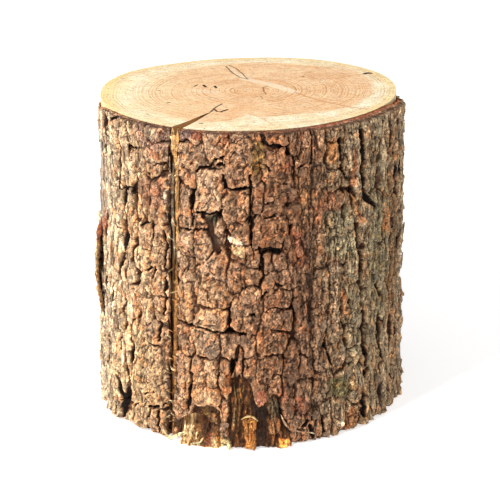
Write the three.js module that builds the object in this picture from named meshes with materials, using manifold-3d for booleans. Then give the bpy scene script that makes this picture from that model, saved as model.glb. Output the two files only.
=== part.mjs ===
// A sawn length of tree trunk, standing on its lower saw cut: the wood, and the bark round it.
// Millimetres. +Z is up, the front is -Y and +X is to its right. Angles are degrees from the
// front, growing to the right, and radii are measured from the trunk's axis.

import * as THREE from "three";
import Module from "manifold-3d";

const HEIGHT = 316;

// Radius of the wood and of the bark's plates at the upper cut, every 15 degrees from -180.
const WOOD_RADII = [
  141.5, 140.5, 140, 144.5, 149, 149.5, 149, 149.5, 149.5, 148.5, 149, 147.5,
  144, 141.5, 139, 138.5, 140, 143.5, 147, 151, 154, 153.5, 152, 147,
];
const BARK_RADII = [
  153, 152.5, 152.5, 155, 157.5, 156.5, 154, 155.5, 157.5, 157, 157.5, 157,
  156, 155, 154.5, 154.5, 155, 155.5, 155.5, 160, 163, 162.5, 161, 156,
];
const RADII_STEP = 15;

// The root flare: how far wood and bark widen towards the base, and where that begins.
const WOOD_FLARE = 4.5;
const BARK_FLARE = 6.5;
const FLARE_TOP = 260;
const FLARE_POWER = 1.3;

// The hollow in the bark high on the left side.
const HOLLOW = { angle: -88, height: 232, depth: 6, reach: 24, rise: 34 };

// The drying crack: its angle at the base and at the top, how far from the axis it starts,
// and the width of its mouth in the wood and of the slot over it in the bark.
const CRACK_BASE_ANGLE = -29;
const CRACK_TOP_ANGLE = -26.5;
const CRACK_TIP_RADIUS = 86;
const CRACK_TIP_ANGLE = -24.5;
const CRACK_MOUTH_BASE = 6.5;
const CRACK_MOUTH_TOP = 11;
const SLOT_BASE = 8.5;
const SLOT_TOP = 12.5;
const SLOT_REACH = 60;

// The torn foot of the wood at the front left, below the bark's raised edge.
const FOOT = { from: -26.5, to: -8, fade: 3, height: 24, spread: 8 };

// The wood's sides step round by this angle, and keep this far from the crack's lips.
const WOOD_STEP = 3.75;
const LIP_CLEAR = 3.2;
const WOOD_LEVELS = [0, FOOT.height, 60, 130, 200, HEIGHT];
const BARK_GAP = 0.45;

// Where the bark stands off the wood, on the right of the upper cut.
const PARTING = { angle: 78, reach: 16, depth: 90, gap: 2.6 };

// The bark's plates. Furrows cut this deep between them, and never nearer to the wood than the
// inner bark. The bevel is how far a plate's edge slopes back into its furrow.
const FURROW_DEPTH = 5.2;
const FURROW_SPREAD = 1.4;
const INNER_BARK = 2.3;
const BEVEL = 1.9;
const DOME = 0.9;
const SHORT_EDGE = 2.4;
const PLATE_SPACING = 23;
const SEED = 20240;

// How many times taller than wide the plates are, at angles round the trunk.
const PLATE_SHAPE = [
  [-180, 2.8], [-120, 3.4], [-90, 4.2], [-70, 4.2], [-55, 3.4], [-45, 2.0], [-35, 1.7],
  [-22, 1.9], [-14, 1.4], [8, 1.4], [16, 2.2], [25, 2.4], [38, 2.6], [50, 2.8], [65, 4.0],
  [90, 4.2], [120, 3.2], [180, 2.8],
];

// The plates that the front shows: the angle and height of each one's middle, and how far it
// stands above its neighbours where it does.
const FRONT_PLATES = [
  // left of the crack, from the side to the crack
  [-86, 292], [-87, 242, -2], [-88, 205, -1], [-87, 170, 3.5], [-87, 128, 3.5], [-86, 84], [-86, 38],
  [-78, 285], [-78, 238], [-77, 172, -3], [-77, 130, -3], [-76, 92], [-76, 46],
  [-70, 293, 1], [-70, 257], [-70, 222], [-70, 190, 1], [-70, 148], [-69, 100], [-66, 42],
  [-60, 270, -1], [-60, 205, -1], [-60, 145], [-58, 100], [-56, 44, 1], [-51, 11],
  [-52, 299], [-51, 265], [-49, 222], [-48, 187], [-49, 164], [-48, 132],
  [-43, 303], [-42, 278, -1], [-40, 244], [-39, 206], [-41, 180], [-39, 155], [-39, 128],
  [-44, 100], [-43, 56, 1], [-41, 15], [-36, 306], [-35, 290, 1], [-35, 272], [-33, 244, 1],
  [-33, 210], [-33, 186], [-33, 161], [-33, 135], [-36, 109, 1], [-36, 72, 1], [-35, 41, 1.5],
  [-34, 15],
  // the crack to the middle
  [-21, 311], [-20, 293], [-21, 271], [-22, 240], [-22, 206], [-23, 181], [-23, 158], [-23, 137],
  [-22, 106], [-23, 66], [-23, 38], [-17, 204, -1], [-11, 304, 1], [-10, 287, -1.5],
  [-14, 260, 2], [-11, 228, -4], [-12, 182], [-12, 157], [-13, 131, 1], [-15, 107, 1],
  [-16, 76, 2.5], [-16, 55, 2.5], [-16, 31, -3], [-5, 313, -1], [-4, 286, 2], [-5, 246, 1],
  [-3, 219], [-4, 200], [-5, 177, -1], [-5, 138, -1], [-7, 108, -1], [-8, 70, -1], [-8, 30, -4],
  // the middle to the right
  [0, 175], [1, 197, -1], [0, 152], [0, 129, -1], [-1, 108, 1], [-4, 90, -1], [0, 84],
  [2, 277, -1], [3, 254], [9, 311, 1], [10, 284, 3], [10, 266, 3], [8, 242, 2], [7, 219, 2],
  [6, 190], [10, 188], [7, 167], [14, 172], [10, 153], [17, 154], [10, 131, 1], [8, 109, 1],
  [7, 86], [4, 60], [9, 61], [-2, 44, -6], [1, 20, -5], [7, 26, -7], [13, 49, -1], [15, 16],
  [16, 305], [16, 272, -1], [16, 231], [17, 204, -1], [15, 89], [19, 122],
  // the right side
  [20, 299], [19, 260], [20, 219], [20, 174], [20, 84], [20, 51], [22, 19],
  [25, 298], [25, 269], [25, 237], [26, 197], [26, 158], [25, 118], [26, 85], [27, 56], [28, 22],
  [31, 311], [31, 289, 1], [31, 264], [32, 232], [33, 196], [32, 158], [32, 116], [33, 84],
  [35, 54], [33, 22], [36, 280, 1], [38, 230], [40, 182], [36, 138, 1], [41, 124], [40, 102],
  [40, 79], [42, 47], [40, 17], [41, 277, 1], [46, 298], [49, 272], [48, 215], [49, 170],
  [50, 125], [51, 80], [52, 33], [50, 307], [56, 309], [58, 261, -1], [60, 213], [59, 159],
  [60, 110], [60, 50], [64, 298], [66, 248], [67, 200], [67, 150], [68, 100], [68, 50],
  [76, 295], [75, 240, 1], [76, 185], [76, 120], [77, 60], [84, 270], [85, 205, 1], [84, 150],
  [85, 95], [86, 40],
];

// How far below the saw cut the bark is broken off round the top, every 15 degrees from -180,
// and how high its lower edge sits.
const RIM_DROP = [
  9, 6, 11, 8, 12, 9, 8, 5, 2.5, 1.5, 1, 1, 1, 1, 1, 1, 1.5, 4, 7.5, 10, 6, 11, 7, 12,
];
const LOWER_EDGE = [
  2, 3, 1.5, 4, 2, 3, 2, 1.5, 2, 4.5, 2, 2, 2, 2, 1, 2, 1.5, 2, 1.5, 3, 2, 4, 2, 1.5,
];
const EDGE_BLEND = 45;

// The long thin splinter lying in the upper cut, outlined by its own crack, and the small chip.
const SPLINTER = { from: [-24, 101], to: [0, 44], width: 5, groove: 0.9, depth: 3 };
const CHIP = [[114, 72], [119, 75], [127, 73], [121, 70]];
const CHIP_DEPTH = 3;

// The axis is set so that the part's box is centred on the origin.
const group = new THREE.Group();

const radians = (degrees) => (degrees * Math.PI) / 180;
const clamp = (value, low, high) => Math.min(Math.max(value, low), high);
const smooth = (t) => t * t * (3 - 2 * t);
const mix = (a, b, t) => a + (b - a) * t;

let randomState = SEED;
function random() {
  randomState = (Math.imul(randomState, 1664525) + 1013904223) >>> 0;
  return randomState / 4294967296;
}

// A closed smooth curve through values that stand every RADII_STEP degrees from -180.
function around(values, degrees) {
  const n = values.length;
  const at = (((degrees + 180) / RADII_STEP) % n + n) % n;
  const i = Math.floor(at);
  const t = at - i;
  const [a, b, c, d] = [-1, 0, 1, 2].map((k) => values[(i + k + n) % n]);
  const slopeB = (c - a) / 2;
  const slopeC = (d - b) / 2;
  const t2 = t * t;
  const t3 = t2 * t;
  return (
    (2 * t3 - 3 * t2 + 1) * b + (t3 - 2 * t2 + t) * slopeB +
    (3 * t2 - 2 * t3) * c + (t3 - t2) * slopeC
  );
}

// A straight-line table of [x, y] rows.
function table(rows, x) {
  for (let i = 1; i < rows.length; i += 1) {
    if (x <= rows[i][0]) {
      const [x0, y0] = rows[i - 1];
      const [x1, y1] = rows[i];
      return mix(y0, y1, (x - x0) / (x1 - x0));
    }
  }
  return rows[rows.length - 1][1];
}

const wrapped = (degrees) => ((((degrees + 180) % 360) + 360) % 360) - 180;
const flare = (z) => Math.pow(Math.max(0, 1 - z / FLARE_TOP), FLARE_POWER);
const crackAngle = (z) => mix(CRACK_BASE_ANGLE, CRACK_TOP_ANGLE, z / HEIGHT);

function footAt(degrees) {
  const inside = Math.min(degrees - FOOT.from, FOOT.to - degrees);
  return smooth(clamp(inside / FOOT.fade, 0, 1));
}

// The bark's lower edge is raised clear of the whole foot.
function lowerEdge(degrees) {
  const inside = Math.min(degrees - FOOT.from, FOOT.to - degrees) + FOOT.fade;
  return around(LOWER_EDGE, degrees) + FOOT.height * smooth(clamp(inside / FOOT.fade, 0, 1));
}

const rimHeight = (degrees) => HEIGHT - around(RIM_DROP, degrees);

// The wood's radius on its own levels, with straight lines between them as its faces have.
function woodAtLevel(degrees, z) {
  const foot = z <= 0 ? FOOT.spread * footAt(degrees) : 0;
  return around(WOOD_RADII, degrees) + WOOD_FLARE * flare(z) + foot;
}

function woodRadius(degrees, z) {
  const rows = WOOD_LEVELS.map((level) => [level, woodAtLevel(degrees, level)]);
  return table(rows, z);
}

function barkRadius(degrees, z) {
  const aside = (wrapped(degrees - HOLLOW.angle) / HOLLOW.reach) ** 2;
  const away = ((z - HOLLOW.height) / HOLLOW.rise) ** 2;
  const hollow = HOLLOW.depth * Math.exp(-aside - away);
  return around(BARK_RADII, degrees) + BARK_FLARE * flare(z) - hollow;
}

function partingGap(degrees, z) {
  const aside = Math.abs(wrapped(degrees - PARTING.angle)) / PARTING.reach;
  const down = (HEIGHT - z) / PARTING.depth;
  return PARTING.gap * smooth(clamp(1 - aside, 0, 1)) * smooth(clamp(1 - down, 0, 1));
}

function place(degrees, radius, z) {
  const a = radians(degrees);
  return [radius * Math.sin(a), -radius * Math.cos(a), z];
}

// One closed surface from points and triangles.
function toGeometry(points, triangles) {
  const geometry = new THREE.BufferGeometry();
  geometry.setAttribute("position", new THREE.Float32BufferAttribute(points.flat(), 3));
  geometry.setIndex(triangles.flat());
  return geometry;
}

function named(name, geometry, color, roughness) {
  geometry.computeVertexNormals();
  const material = new THREE.MeshStandardMaterial({ color, roughness, metalness: 0 });
  const mesh = new THREE.Mesh(geometry, material);
  mesh.name = name;
  group.add(mesh);
  return mesh;
}

// The wood: an outline at each level, joined into a side, with a flat cap at each end.

// The crack's walls at one level, from the left lip to the tip and back to the right lip.
function crackWalls(z) {
  const middle = crackAngle(z);
  const mouth = mix(CRACK_MOUTH_BASE, CRACK_MOUTH_TOP, smooth(z / HEIGHT));
  const lip = woodRadius(middle, z);
  const bends = [0, 0.8, -0.6, 0];
  const side = (sign) => bends.slice(0, 3).map((bend, i) => {
    const depth = i / 3;
    const radius = mix(lip, CRACK_TIP_RADIUS, depth);
    const half = (mouth / 2) * Math.pow(1 - depth, 0.9);
    const angle = mix(middle, CRACK_TIP_ANGLE, depth);
    const turn = ((sign * half + bend) / radius) * (180 / Math.PI);
    return [angle + turn, radius];
  });
  return [...side(-1), [CRACK_TIP_ANGLE, CRACK_TIP_RADIUS], ...side(1).reverse()];
}

function woodOutline(z) {
  const outline = [];
  const first = Math.ceil((CRACK_TOP_ANGLE + LIP_CLEAR) / WOOD_STEP) * WOOD_STEP;
  for (let a = first; a < CRACK_BASE_ANGLE + 360 - LIP_CLEAR; a += WOOD_STEP) {
    outline.push([a, woodRadius(wrapped(a), z)]);
  }
  return [...outline, ...crackWalls(z)].map(([a, r]) => place(a, r, z));
}

function woodBody() {
  const loops = WOOD_LEVELS.map(woodOutline);
  const n = loops[0].length;
  const points = loops.flat();
  const triangles = [];
  for (let level = 0; level + 1 < loops.length; level += 1) {
    for (let i = 0; i < n; i += 1) {
      const j = (i + 1) % n;
      const [a, b] = [level * n + i, level * n + j];
      triangles.push([a, b, b + n], [a, b + n, a + n]);
    }
  }
  const flat = (loop) => loop.map(([x, y]) => new THREE.Vector2(x, y));
  const top = (loops.length - 1) * n;
  for (const [a, b, c] of THREE.ShapeUtils.triangulateShape(flat(loops.at(-1)), [])) {
    triangles.push([top + a, top + b, top + c]);
  }
  for (const [a, b, c] of THREE.ShapeUtils.triangulateShape(flat(loops[0]), [])) {
    triangles.push([c, b, a]);
  }
  return { points, triangles };
}

// A pointed lens in plan between two points, with each side bowed out by half its width.
function lens(from, to, width, steps) {
  const start = new THREE.Vector2(...from);
  const along = new THREE.Vector2(...to).sub(start);
  const across = new THREE.Vector2(along.y, -along.x).normalize();
  const side = (sign) => Array.from({ length: steps }, (_, i) => {
    const t = (sign > 0 ? i : steps - i) / steps;
    const bow = (sign * width * Math.sin(Math.PI * t)) / 2;
    return start.clone().addScaledVector(along, t).addScaledVector(across, bow);
  });
  return [...side(1), ...side(-1)];
}

function cutter(outline, hole, depth) {
  const shape = new THREE.Shape(outline);
  if (hole) shape.holes.push(new THREE.Path(hole));
  const geometry = new THREE.ExtrudeGeometry(shape, { depth: depth + 1, bevelEnabled: false });
  geometry.translate(0, 0, HEIGHT - depth);
  return geometry;
}

// Manifold solids from three.js geometry, and back.
const wasm = await Module();
wasm.setup();

function toSolid(geometry) {
  const index = new Map();
  const vertices = [];
  const position = geometry.getAttribute("position");
  const order = geometry.index ? Array.from(geometry.index.array) : null;
  const corners = order ?? Array.from({ length: position.count }, (_, i) => i);
  const triangles = corners.map((i) => {
    const point = [position.getX(i), position.getY(i), position.getZ(i)];
    const key = point.map((value) => value.toFixed(4)).join(",");
    if (!index.has(key)) {
      index.set(key, vertices.length / 3);
      vertices.push(...point);
    }
    return index.get(key);
  });
  const mesh = new wasm.Mesh({
    numProp: 3,
    vertProperties: new Float32Array(vertices),
    triVerts: new Uint32Array(triangles),
  });
  return new wasm.Manifold(mesh);
}

function fromSolid(solid) {
  const { vertProperties, triVerts, numProp } = solid.getMesh();
  const points = [];
  for (let i = 0; i < vertProperties.length; i += numProp) {
    points.push([vertProperties[i], vertProperties[i + 1], vertProperties[i + 2]]);
  }
  return toGeometry(points, Array.from(triVerts));
}

function makeWood() {
  const { points, triangles } = woodBody();
  const { from, to, width, groove, depth } = SPLINTER;
  const outer = lens(from, to, width, 8);
  const reach = new THREE.Vector2(...to).sub(new THREE.Vector2(...from));
  const inset = reach.clone().normalize().multiplyScalar(6);
  const inner = lens(
    [from[0] + inset.x, from[1] + inset.y],
    [to[0] - inset.x, to[1] - inset.y],
    width - 2 * groove,
    8,
  );
  const chip = CHIP.map(([x, y]) => new THREE.Vector2(x, y));
  const cuts = [cutter(outer, inner, depth), cutter(chip, null, CHIP_DEPTH)];
  let solid = toSolid(toGeometry(points, triangles));
  for (const cut of cuts) {
    solid = solid.subtract(toSolid(cut));
  }
  named("wood", fromSolid(solid), 0xe2b877, 0.75);
}

// The bark: plates laid out on a flat map, then wrapped round the trunk.

// The map's height runs up the trunk, halved. Its width runs round the trunk from the crack,
// stretched where the plates are narrow, so that a plate is about as wide as it is tall.
const MAP_ROWS = 720;
const MAP_HEIGHT = HEIGHT / 2;
const CRACK_MIDDLE = (CRACK_BASE_ANGLE + CRACK_TOP_ANGLE) / 2;
const SLOT_MIDDLE = (SLOT_BASE + SLOT_TOP) / 2;
const MEAN_RADIUS = 156;
const SLOT_HALF_ANGLE = (SLOT_MIDDLE / 2 / MEAN_RADIUS) * (180 / Math.PI);
const MAP_FROM = CRACK_MIDDLE + SLOT_HALF_ANGLE;
const MAP_SPAN = 360 - 2 * SLOT_HALF_ANGLE;

const stretch = [[MAP_FROM, 0]];
for (let i = 1; i <= MAP_ROWS; i += 1) {
  const angle = MAP_FROM + (MAP_SPAN * i) / MAP_ROWS;
  const middle = wrapped(angle - MAP_SPAN / MAP_ROWS / 2);
  const arc = radians(MAP_SPAN / MAP_ROWS) * MEAN_RADIUS;
  stretch.push([angle, stretch[i - 1][1] + (table(PLATE_SHAPE, middle) / 2) * arc]);
}
const unstretch = stretch.map(([angle, u]) => [u, angle]);
const MAP_WIDTH = stretch[MAP_ROWS][1];

function toMap(degrees, z) {
  const angle = degrees < MAP_FROM ? degrees + 360 : degrees;
  return [table(stretch, angle), z / 2];
}

// The slot follows the crack, and the bark within SLOT_REACH of it leans with it.
function fromMap([u, v]) {
  const angle = table(unstretch, clamp(u, 0, MAP_WIDTH));
  const raw = v * 2;
  const height = edged(wrapped(angle), raw);
  const fromStart = radians(angle - MAP_FROM) * MEAN_RADIUS;
  const fromEnd = radians(MAP_FROM + MAP_SPAN - angle) * MEAN_RADIUS;
  const near = clamp(1 - Math.min(fromStart, fromEnd) / SLOT_REACH, 0, 1);
  const slot = mix(SLOT_BASE, SLOT_TOP, smooth(clamp(height / HEIGHT, 0, 1)));
  const wider = (((slot - SLOT_MIDDLE) / 2) / MEAN_RADIUS) * (180 / Math.PI);
  const side = fromStart < fromEnd ? 1 : -1;
  const lean = crackAngle(height) - CRACK_MIDDLE;
  return [angle + near * (lean + side * wider), height];
}

// Heights near the top and the base are drawn in to the bark's broken edges.
function edged(degrees, z) {
  const low = lowerEdge(degrees);
  const high = rimHeight(degrees);
  if (z < EDGE_BLEND) return mix(low, EDGE_BLEND, z / EDGE_BLEND);
  const start = HEIGHT - EDGE_BLEND;
  if (z > start) return mix(start, high, (z - start) / EDGE_BLEND);
  return z;
}

// The plates' middles: those of the front, then more wherever there is still room.
function plateSites() {
  const sites = FRONT_PLATES.map(([angle, z, lift = 0]) => {
    const [u, v] = toMap(angle, z);
    return { u, v, lift };
  });
  let misses = 0;
  while (misses < 4000) {
    const u = random() * MAP_WIDTH;
    const v = random() * MAP_HEIGHT;
    const room = PLATE_SPACING * (0.85 + 0.4 * random());
    const clear = sites.every((site) => Math.hypot(site.u - u, site.v - v) > room);
    if (clear) {
      sites.push({ u, v, lift: 2.4 * random() - 1.2 });
      misses = 0;
    } else {
      misses += 1;
    }
  }
  return sites;
}

// The part of a polygon that is nearer to one site than to another.
function nearerPart(polygon, site, other) {
  const du = other.u - site.u;
  const dv = other.v - site.v;
  const limit = (other.u ** 2 + other.v ** 2 - site.u ** 2 - site.v ** 2) / 2;
  const beyond = ([u, v]) => u * du + v * dv - limit;
  const kept = [];
  polygon.forEach((point, i) => {
    const next = polygon[(i + 1) % polygon.length];
    const [here, there] = [beyond(point), beyond(next)];
    if (here <= 0) kept.push(point);
    if ((here < 0 && there > 0) || (here > 0 && there < 0)) {
      const t = here / (here - there);
      kept.push([mix(point[0], next[0], t), mix(point[1], next[1], t)]);
    }
  });
  return kept;
}

function plateOutline(site, sites) {
  let polygon = [[0, 0], [MAP_WIDTH, 0], [MAP_WIDTH, MAP_HEIGHT], [0, MAP_HEIGHT]];
  const far = (other) => Math.hypot(other.u - site.u, other.v - site.v);
  const others = sites.filter((other) => other !== site).sort((a, b) => far(a) - far(b));
  for (const other of others) {
    const reach = Math.max(...polygon.map(([u, v]) => Math.hypot(u - site.u, v - site.v)));
    if (far(other) > 2 * reach) break;
    polygon = nearerPart(polygon, site, other);
  }
  return polygon;
}

// Corners that several plates share become one, and so do the ends of very short edges.
function sharedCorners(outlines) {
  const corners = [];
  const onEdge = (value, edge) => Math.abs(value - edge) < 1e-6;
  const rank = ([u, v]) => Number(onEdge(u, 0) || onEdge(u, MAP_WIDTH)) +
    Number(onEdge(v, 0) || onEdge(v, MAP_HEIGHT));
  const flat = (point) => {
    const [angle, z] = fromMap(point);
    return [radians(angle) * MEAN_RADIUS, z];
  };
  const all = outlines.flat().map((map) => ({ map, at: flat(map), rank: rank(map) }));
  all.sort((a, b) => b.rank - a.rank);
  const cell = (value) => Math.floor(value / SHORT_EDGE);
  const grid = new Map();
  const indexOf = new Map();
  for (const point of all) {
    let found = -1;
    for (let i = -1; i <= 1 && found < 0; i += 1) {
      for (let j = -1; j <= 1 && found < 0; j += 1) {
        const key = `${cell(point.at[0]) + i},${cell(point.at[1]) + j}`;
        const near = (grid.get(key) ?? []).find((k) => {
          const [x, z] = corners[k].at;
          const limit = corners[k].rank && point.rank ? 0.01 : SHORT_EDGE;
          return Math.hypot(x - point.at[0], z - point.at[1]) < limit;
        });
        if (near !== undefined) found = near;
      }
    }
    if (found < 0) {
      found = corners.length;
      corners.push(point);
      const key = `${cell(point.at[0])},${cell(point.at[1])}`;
      grid.set(key, [...(grid.get(key) ?? []), found]);
    }
    indexOf.set(point.map, found);
  }
  const loops = outlines.map((outline) => tidyLoop(outline.map((point) => indexOf.get(point))));
  return { corners, loops };
}

// Drops repeated corners, and any spur that runs out to a corner and straight back.
function tidyLoop(loop) {
  let kept = loop;
  for (;;) {
    const n = kept.length;
    const repeat = kept.findIndex((k, i) => k === kept[(i + 1) % n]);
    const spur = n > 2 ? kept.findIndex((k, i) => k === kept[(i + 2) % n]) : -1;
    if (n < 3 || (repeat < 0 && spur < 0)) return kept;
    const dropped = repeat < 0 ? [(spur + 1) % n, (spur + 2) % n] : [repeat];
    kept = kept.filter((_, i) => !dropped.includes(i));
  }
}

// A plate's top: its outline moved inwards by the bevel, on the flat map.
function insetLoop(outline) {
  const n = outline.length;
  const inward = outline.map(([x, z], i) => {
    const [nx, nz] = outline[(i + 1) % n];
    const length = Math.hypot(nx - x, nz - z);
    return [-(nz - z) / length, (nx - x) / length];
  });
  const moved = outline.map(([x, z], i) => {
    const [a, b] = [inward[(i + n - 1) % n], inward[i]];
    const k = BEVEL / Math.max(0.35, 1 + a[0] * b[0] + a[1] * b[1]);
    return [x + (a[0] + b[0]) * k, z + (a[1] + b[1]) * k];
  });
  const slots = moved.map((_, i) => i);
  outline.forEach(([x, z], i) => {
    const j = (i + 1) % n;
    const [ex, ez] = [outline[j][0] - x, outline[j][1] - z];
    const [mx, mz] = [moved[j][0] - moved[i][0], moved[j][1] - moved[i][1]];
    if (ex * mx + ez * mz < 0.3 * Math.hypot(ex, ez)) {
      slots[j] = slots[i];
      moved[slots[i]] = [(moved[i][0] + moved[j][0]) / 2, (moved[i][1] + moved[j][1]) / 2];
    }
  });
  return { moved, slots };
}

// Joins two lines of points that run side by side. Each entry is [index, how far along].
function zip(near, far, triangles) {
  let [i, j] = [0, 0];
  while (i + 1 < near.length || j + 1 < far.length) {
    const nextNear = i + 1 < near.length ? near[i + 1][1] : Infinity;
    const nextFar = j + 1 < far.length ? far[j + 1][1] : Infinity;
    if (nextNear <= nextFar) {
      triangles.push([near[i][0], near[i + 1][0], far[j][0]]);
      i += 1;
    } else {
      triangles.push([near[i][0], far[j + 1][0], far[j][0]]);
      j += 1;
    }
  }
}

// The bark's inner face follows the wood. Its columns run from one side of the slot round to
// the other, and its rows from the lower edge to the rim.
function innerFace(points, triangles) {
  const first = Math.ceil((CRACK_TOP_ANGLE + LIP_CLEAR) / WOOD_STEP) * WOOD_STEP;
  const angles = [null];
  for (let a = first; a < CRACK_BASE_ANGLE + 360 - LIP_CLEAR; a += WOOD_STEP) angles.push(a);
  angles.push(null);
  const columns = angles.map((angle, column) => {
    const edge = column === 0 ? 0 : MAP_WIDTH;
    const u = angle === null ? edge : table(stretch, angle);
    const turned = wrapped(table(unstretch, u));
    const low = lowerEdge(turned);
    const high = rimHeight(turned);
    const levels = [low, Math.max(FOOT.height, low + 8), 60, 130, 200, high];
    return levels.map((z) => {
      const at = angle ?? slotEdge(edge, z);
      const extra = angle === null ? 0.4 : 0;
      const gap = BARK_GAP + extra + partingGap(at, z);
      points.push(place(at, woodRadius(wrapped(at), z) + gap, z));
      return [points.length - 1, z, u];
    });
  });
  for (let c = 0; c + 1 < columns.length; c += 1) {
    for (let r = 0; r + 1 < columns[c].length; r += 1) {
      const [a, b] = [columns[c][r][0], columns[c + 1][r][0]];
      const [d, e] = [columns[c][r + 1][0], columns[c + 1][r + 1][0]];
      triangles.push([a, e, b], [a, d, e]);
    }
  }
  return columns;
}

// The angle of the slot's side at a height.
function slotEdge(u, z) {
  const [angle] = fromMap([u, z / 2]);
  const low = lowerEdge(wrapped(table(unstretch, u)));
  const slot = mix(SLOT_BASE, SLOT_TOP, smooth(clamp(z / HEIGHT, 0, 1)));
  const half = (slot / 2 / MEAN_RADIUS) * (180 / Math.PI);
  const side = u === 0 ? half : 360 - half;
  return z < low ? angle : crackAngle(z) + side;
}

function makeBark() {
  const sites = plateSites();
  const outlines = sites.map((site) => plateOutline(site, sites));
  const { corners, loops } = sharedCorners(outlines);

  const lowestPlate = corners.map(() => Infinity);
  loops.forEach((loop, i) => {
    for (const k of loop) lowestPlate[k] = Math.min(lowestPlate[k], sites[i].lift);
  });
  const points = [];
  const triangles = [];
  const floorOf = (angle, z) => {
    const gap = BARK_GAP + partingGap(angle, z);
    return woodRadius(wrapped(angle), z) + gap + INNER_BARK;
  };
  corners.forEach((corner, k) => {
    const [angle, z] = fromMap(corner.map);
    const deep = FURROW_DEPTH + FURROW_SPREAD * (2 * random() - 1);
    const cut = corner.rank > 0 ? deep * 0.5 : deep;
    const lift = Math.min(lowestPlate[k], 0);
    const radius = barkRadius(wrapped(angle), z) - cut + lift;
    points.push(place(angle, Math.max(radius, floorOf(angle, z)), z));
  });

  loops.forEach((loop, i) => {
    if (loop.length < 3) return;
    const outline = loop.map((k) => corners[k].at);
    const { moved, slots } = insetLoop(outline);
    const { lift } = sites[i];
    const added = new Map();
    const rimPoint = (slot) => {
      if (!added.has(slot)) {
        const [x, z] = moved[slot];
        const angle = (x / MEAN_RADIUS) * (180 / Math.PI);
        const radius = barkRadius(wrapped(angle), z) + lift - 0.5 * random();
        points.push(place(angle, Math.max(radius, floorOf(angle, z) + 0.4), z));
        added.set(slot, points.length - 1);
      }
      return added.get(slot);
    };
    const rim = slots.map(rimPoint);
    const used = [...new Set(slots)].map((slot) => moved[slot]);
    const x = used.reduce((sum, p) => sum + p[0], 0) / used.length;
    const z = used.reduce((sum, p) => sum + p[1], 0) / used.length;
    const angle = (x / MEAN_RADIUS) * (180 / Math.PI);
    const radius = barkRadius(wrapped(angle), z) + lift + DOME;
    points.push(place(angle, Math.max(radius, floorOf(angle, z) + 0.6), z));
    const middle = points.length - 1;
    loop.forEach((k, j) => {
      const next = (j + 1) % loop.length;
      triangles.push([k, loop[next], rim[next]]);
      if (rim[j] !== rim[next]) {
        triangles.push([k, rim[next], rim[j]], [rim[j], rim[next], middle]);
      }
    });
  });

  // The cut and broken edges: the top, the base, and the two sides of the slot.
  const columns = innerFace(points, triangles);
  const edge = (test, along) => corners
    .map((corner, k) => [k, corner.map[along], corner.map])
    .filter(([, , map]) => test(map))
    .sort((a, b) => a[1] - b[1])
    .map(([k, value]) => [k, value]);
  const same = (value, target) => Math.abs(value - target) < 1e-6;
  const topOuter = edge(([, v]) => same(v, MAP_HEIGHT), 0);
  const baseOuter = edge(([, v]) => same(v, 0), 0);
  const startOuter = edge(([u]) => same(u, 0), 1);
  const endOuter = edge(([u]) => same(u, MAP_WIDTH), 1);
  const topInner = columns.map((column) => [column.at(-1)[0], column.at(-1)[2]]);
  const baseInner = columns.map((column) => [column[0][0], column[0][2]]);
  const startInner = columns[0].map(([k, z]) => [k, z / 2]);
  const endInner = columns.at(-1).map(([k, z]) => [k, z / 2]);
  zip(topOuter, topInner, triangles);
  zip(baseInner, baseOuter, triangles);
  zip(startOuter, startInner, triangles);
  zip(endInner, endOuter, triangles);
  named("bark", toGeometry(points, triangles), 0x7d5a3c, 0.9);
}

makeWood();
makeBark();

const box = new THREE.Box3().setFromObject(group);
const middle = box.getCenter(new THREE.Vector3());
group.children.forEach((mesh) => mesh.geometry.translate(-middle.x, -middle.y, -box.min.z));

export default group;
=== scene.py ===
"""A sawn length of tree trunk with its bark on, standing on its lower saw cut.

The trunk is worked out in millimetres round its own axis: angles are degrees from the front,
growing to the right, and heights are from the base. to_frame() turns them into metres in the
shared frame.
"""

import math
from types import SimpleNamespace

import bpy
import numpy as np
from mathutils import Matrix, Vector


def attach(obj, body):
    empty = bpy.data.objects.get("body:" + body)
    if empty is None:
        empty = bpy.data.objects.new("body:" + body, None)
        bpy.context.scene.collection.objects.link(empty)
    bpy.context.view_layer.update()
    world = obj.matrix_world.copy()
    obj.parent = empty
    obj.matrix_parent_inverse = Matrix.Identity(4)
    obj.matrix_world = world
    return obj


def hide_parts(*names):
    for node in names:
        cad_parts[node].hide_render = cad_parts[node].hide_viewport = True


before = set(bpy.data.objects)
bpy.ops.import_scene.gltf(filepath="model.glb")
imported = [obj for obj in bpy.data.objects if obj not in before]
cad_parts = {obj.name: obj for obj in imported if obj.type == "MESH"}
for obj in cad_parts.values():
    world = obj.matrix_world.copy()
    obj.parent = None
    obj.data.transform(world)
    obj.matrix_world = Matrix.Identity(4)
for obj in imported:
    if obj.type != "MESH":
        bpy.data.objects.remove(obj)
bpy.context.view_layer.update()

HEIGHT = 316.0
AXIS = (-0.802, 0.829)
MEAN_RADIUS = 156.0
GIRTH = 2 * math.pi * MEAN_RADIUS

# Radius of the wood and of the bark's plates at the upper cut, every 15 degrees from -180.
WOOD_RADII = [
    141.5, 140.5, 140, 144.5, 149, 149.5, 149, 149.5, 149.5, 148.5, 149, 147.5,
    144, 141.5, 139, 138.5, 140, 143.5, 147, 151, 154, 153.5, 152, 147,
]
BARK_RADII = [
    153, 152.5, 152.5, 155, 157.5, 156.5, 154, 155.5, 157.5, 157, 157.5, 157,
    156, 155, 154.5, 154.5, 155, 155.5, 155.5, 160, 163, 162.5, 161, 156,
]
WOOD_FLARE = 4.5
BARK_FLARE = 6.5
FLARE_TOP = 260.0
FLARE_POWER = 1.3

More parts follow.
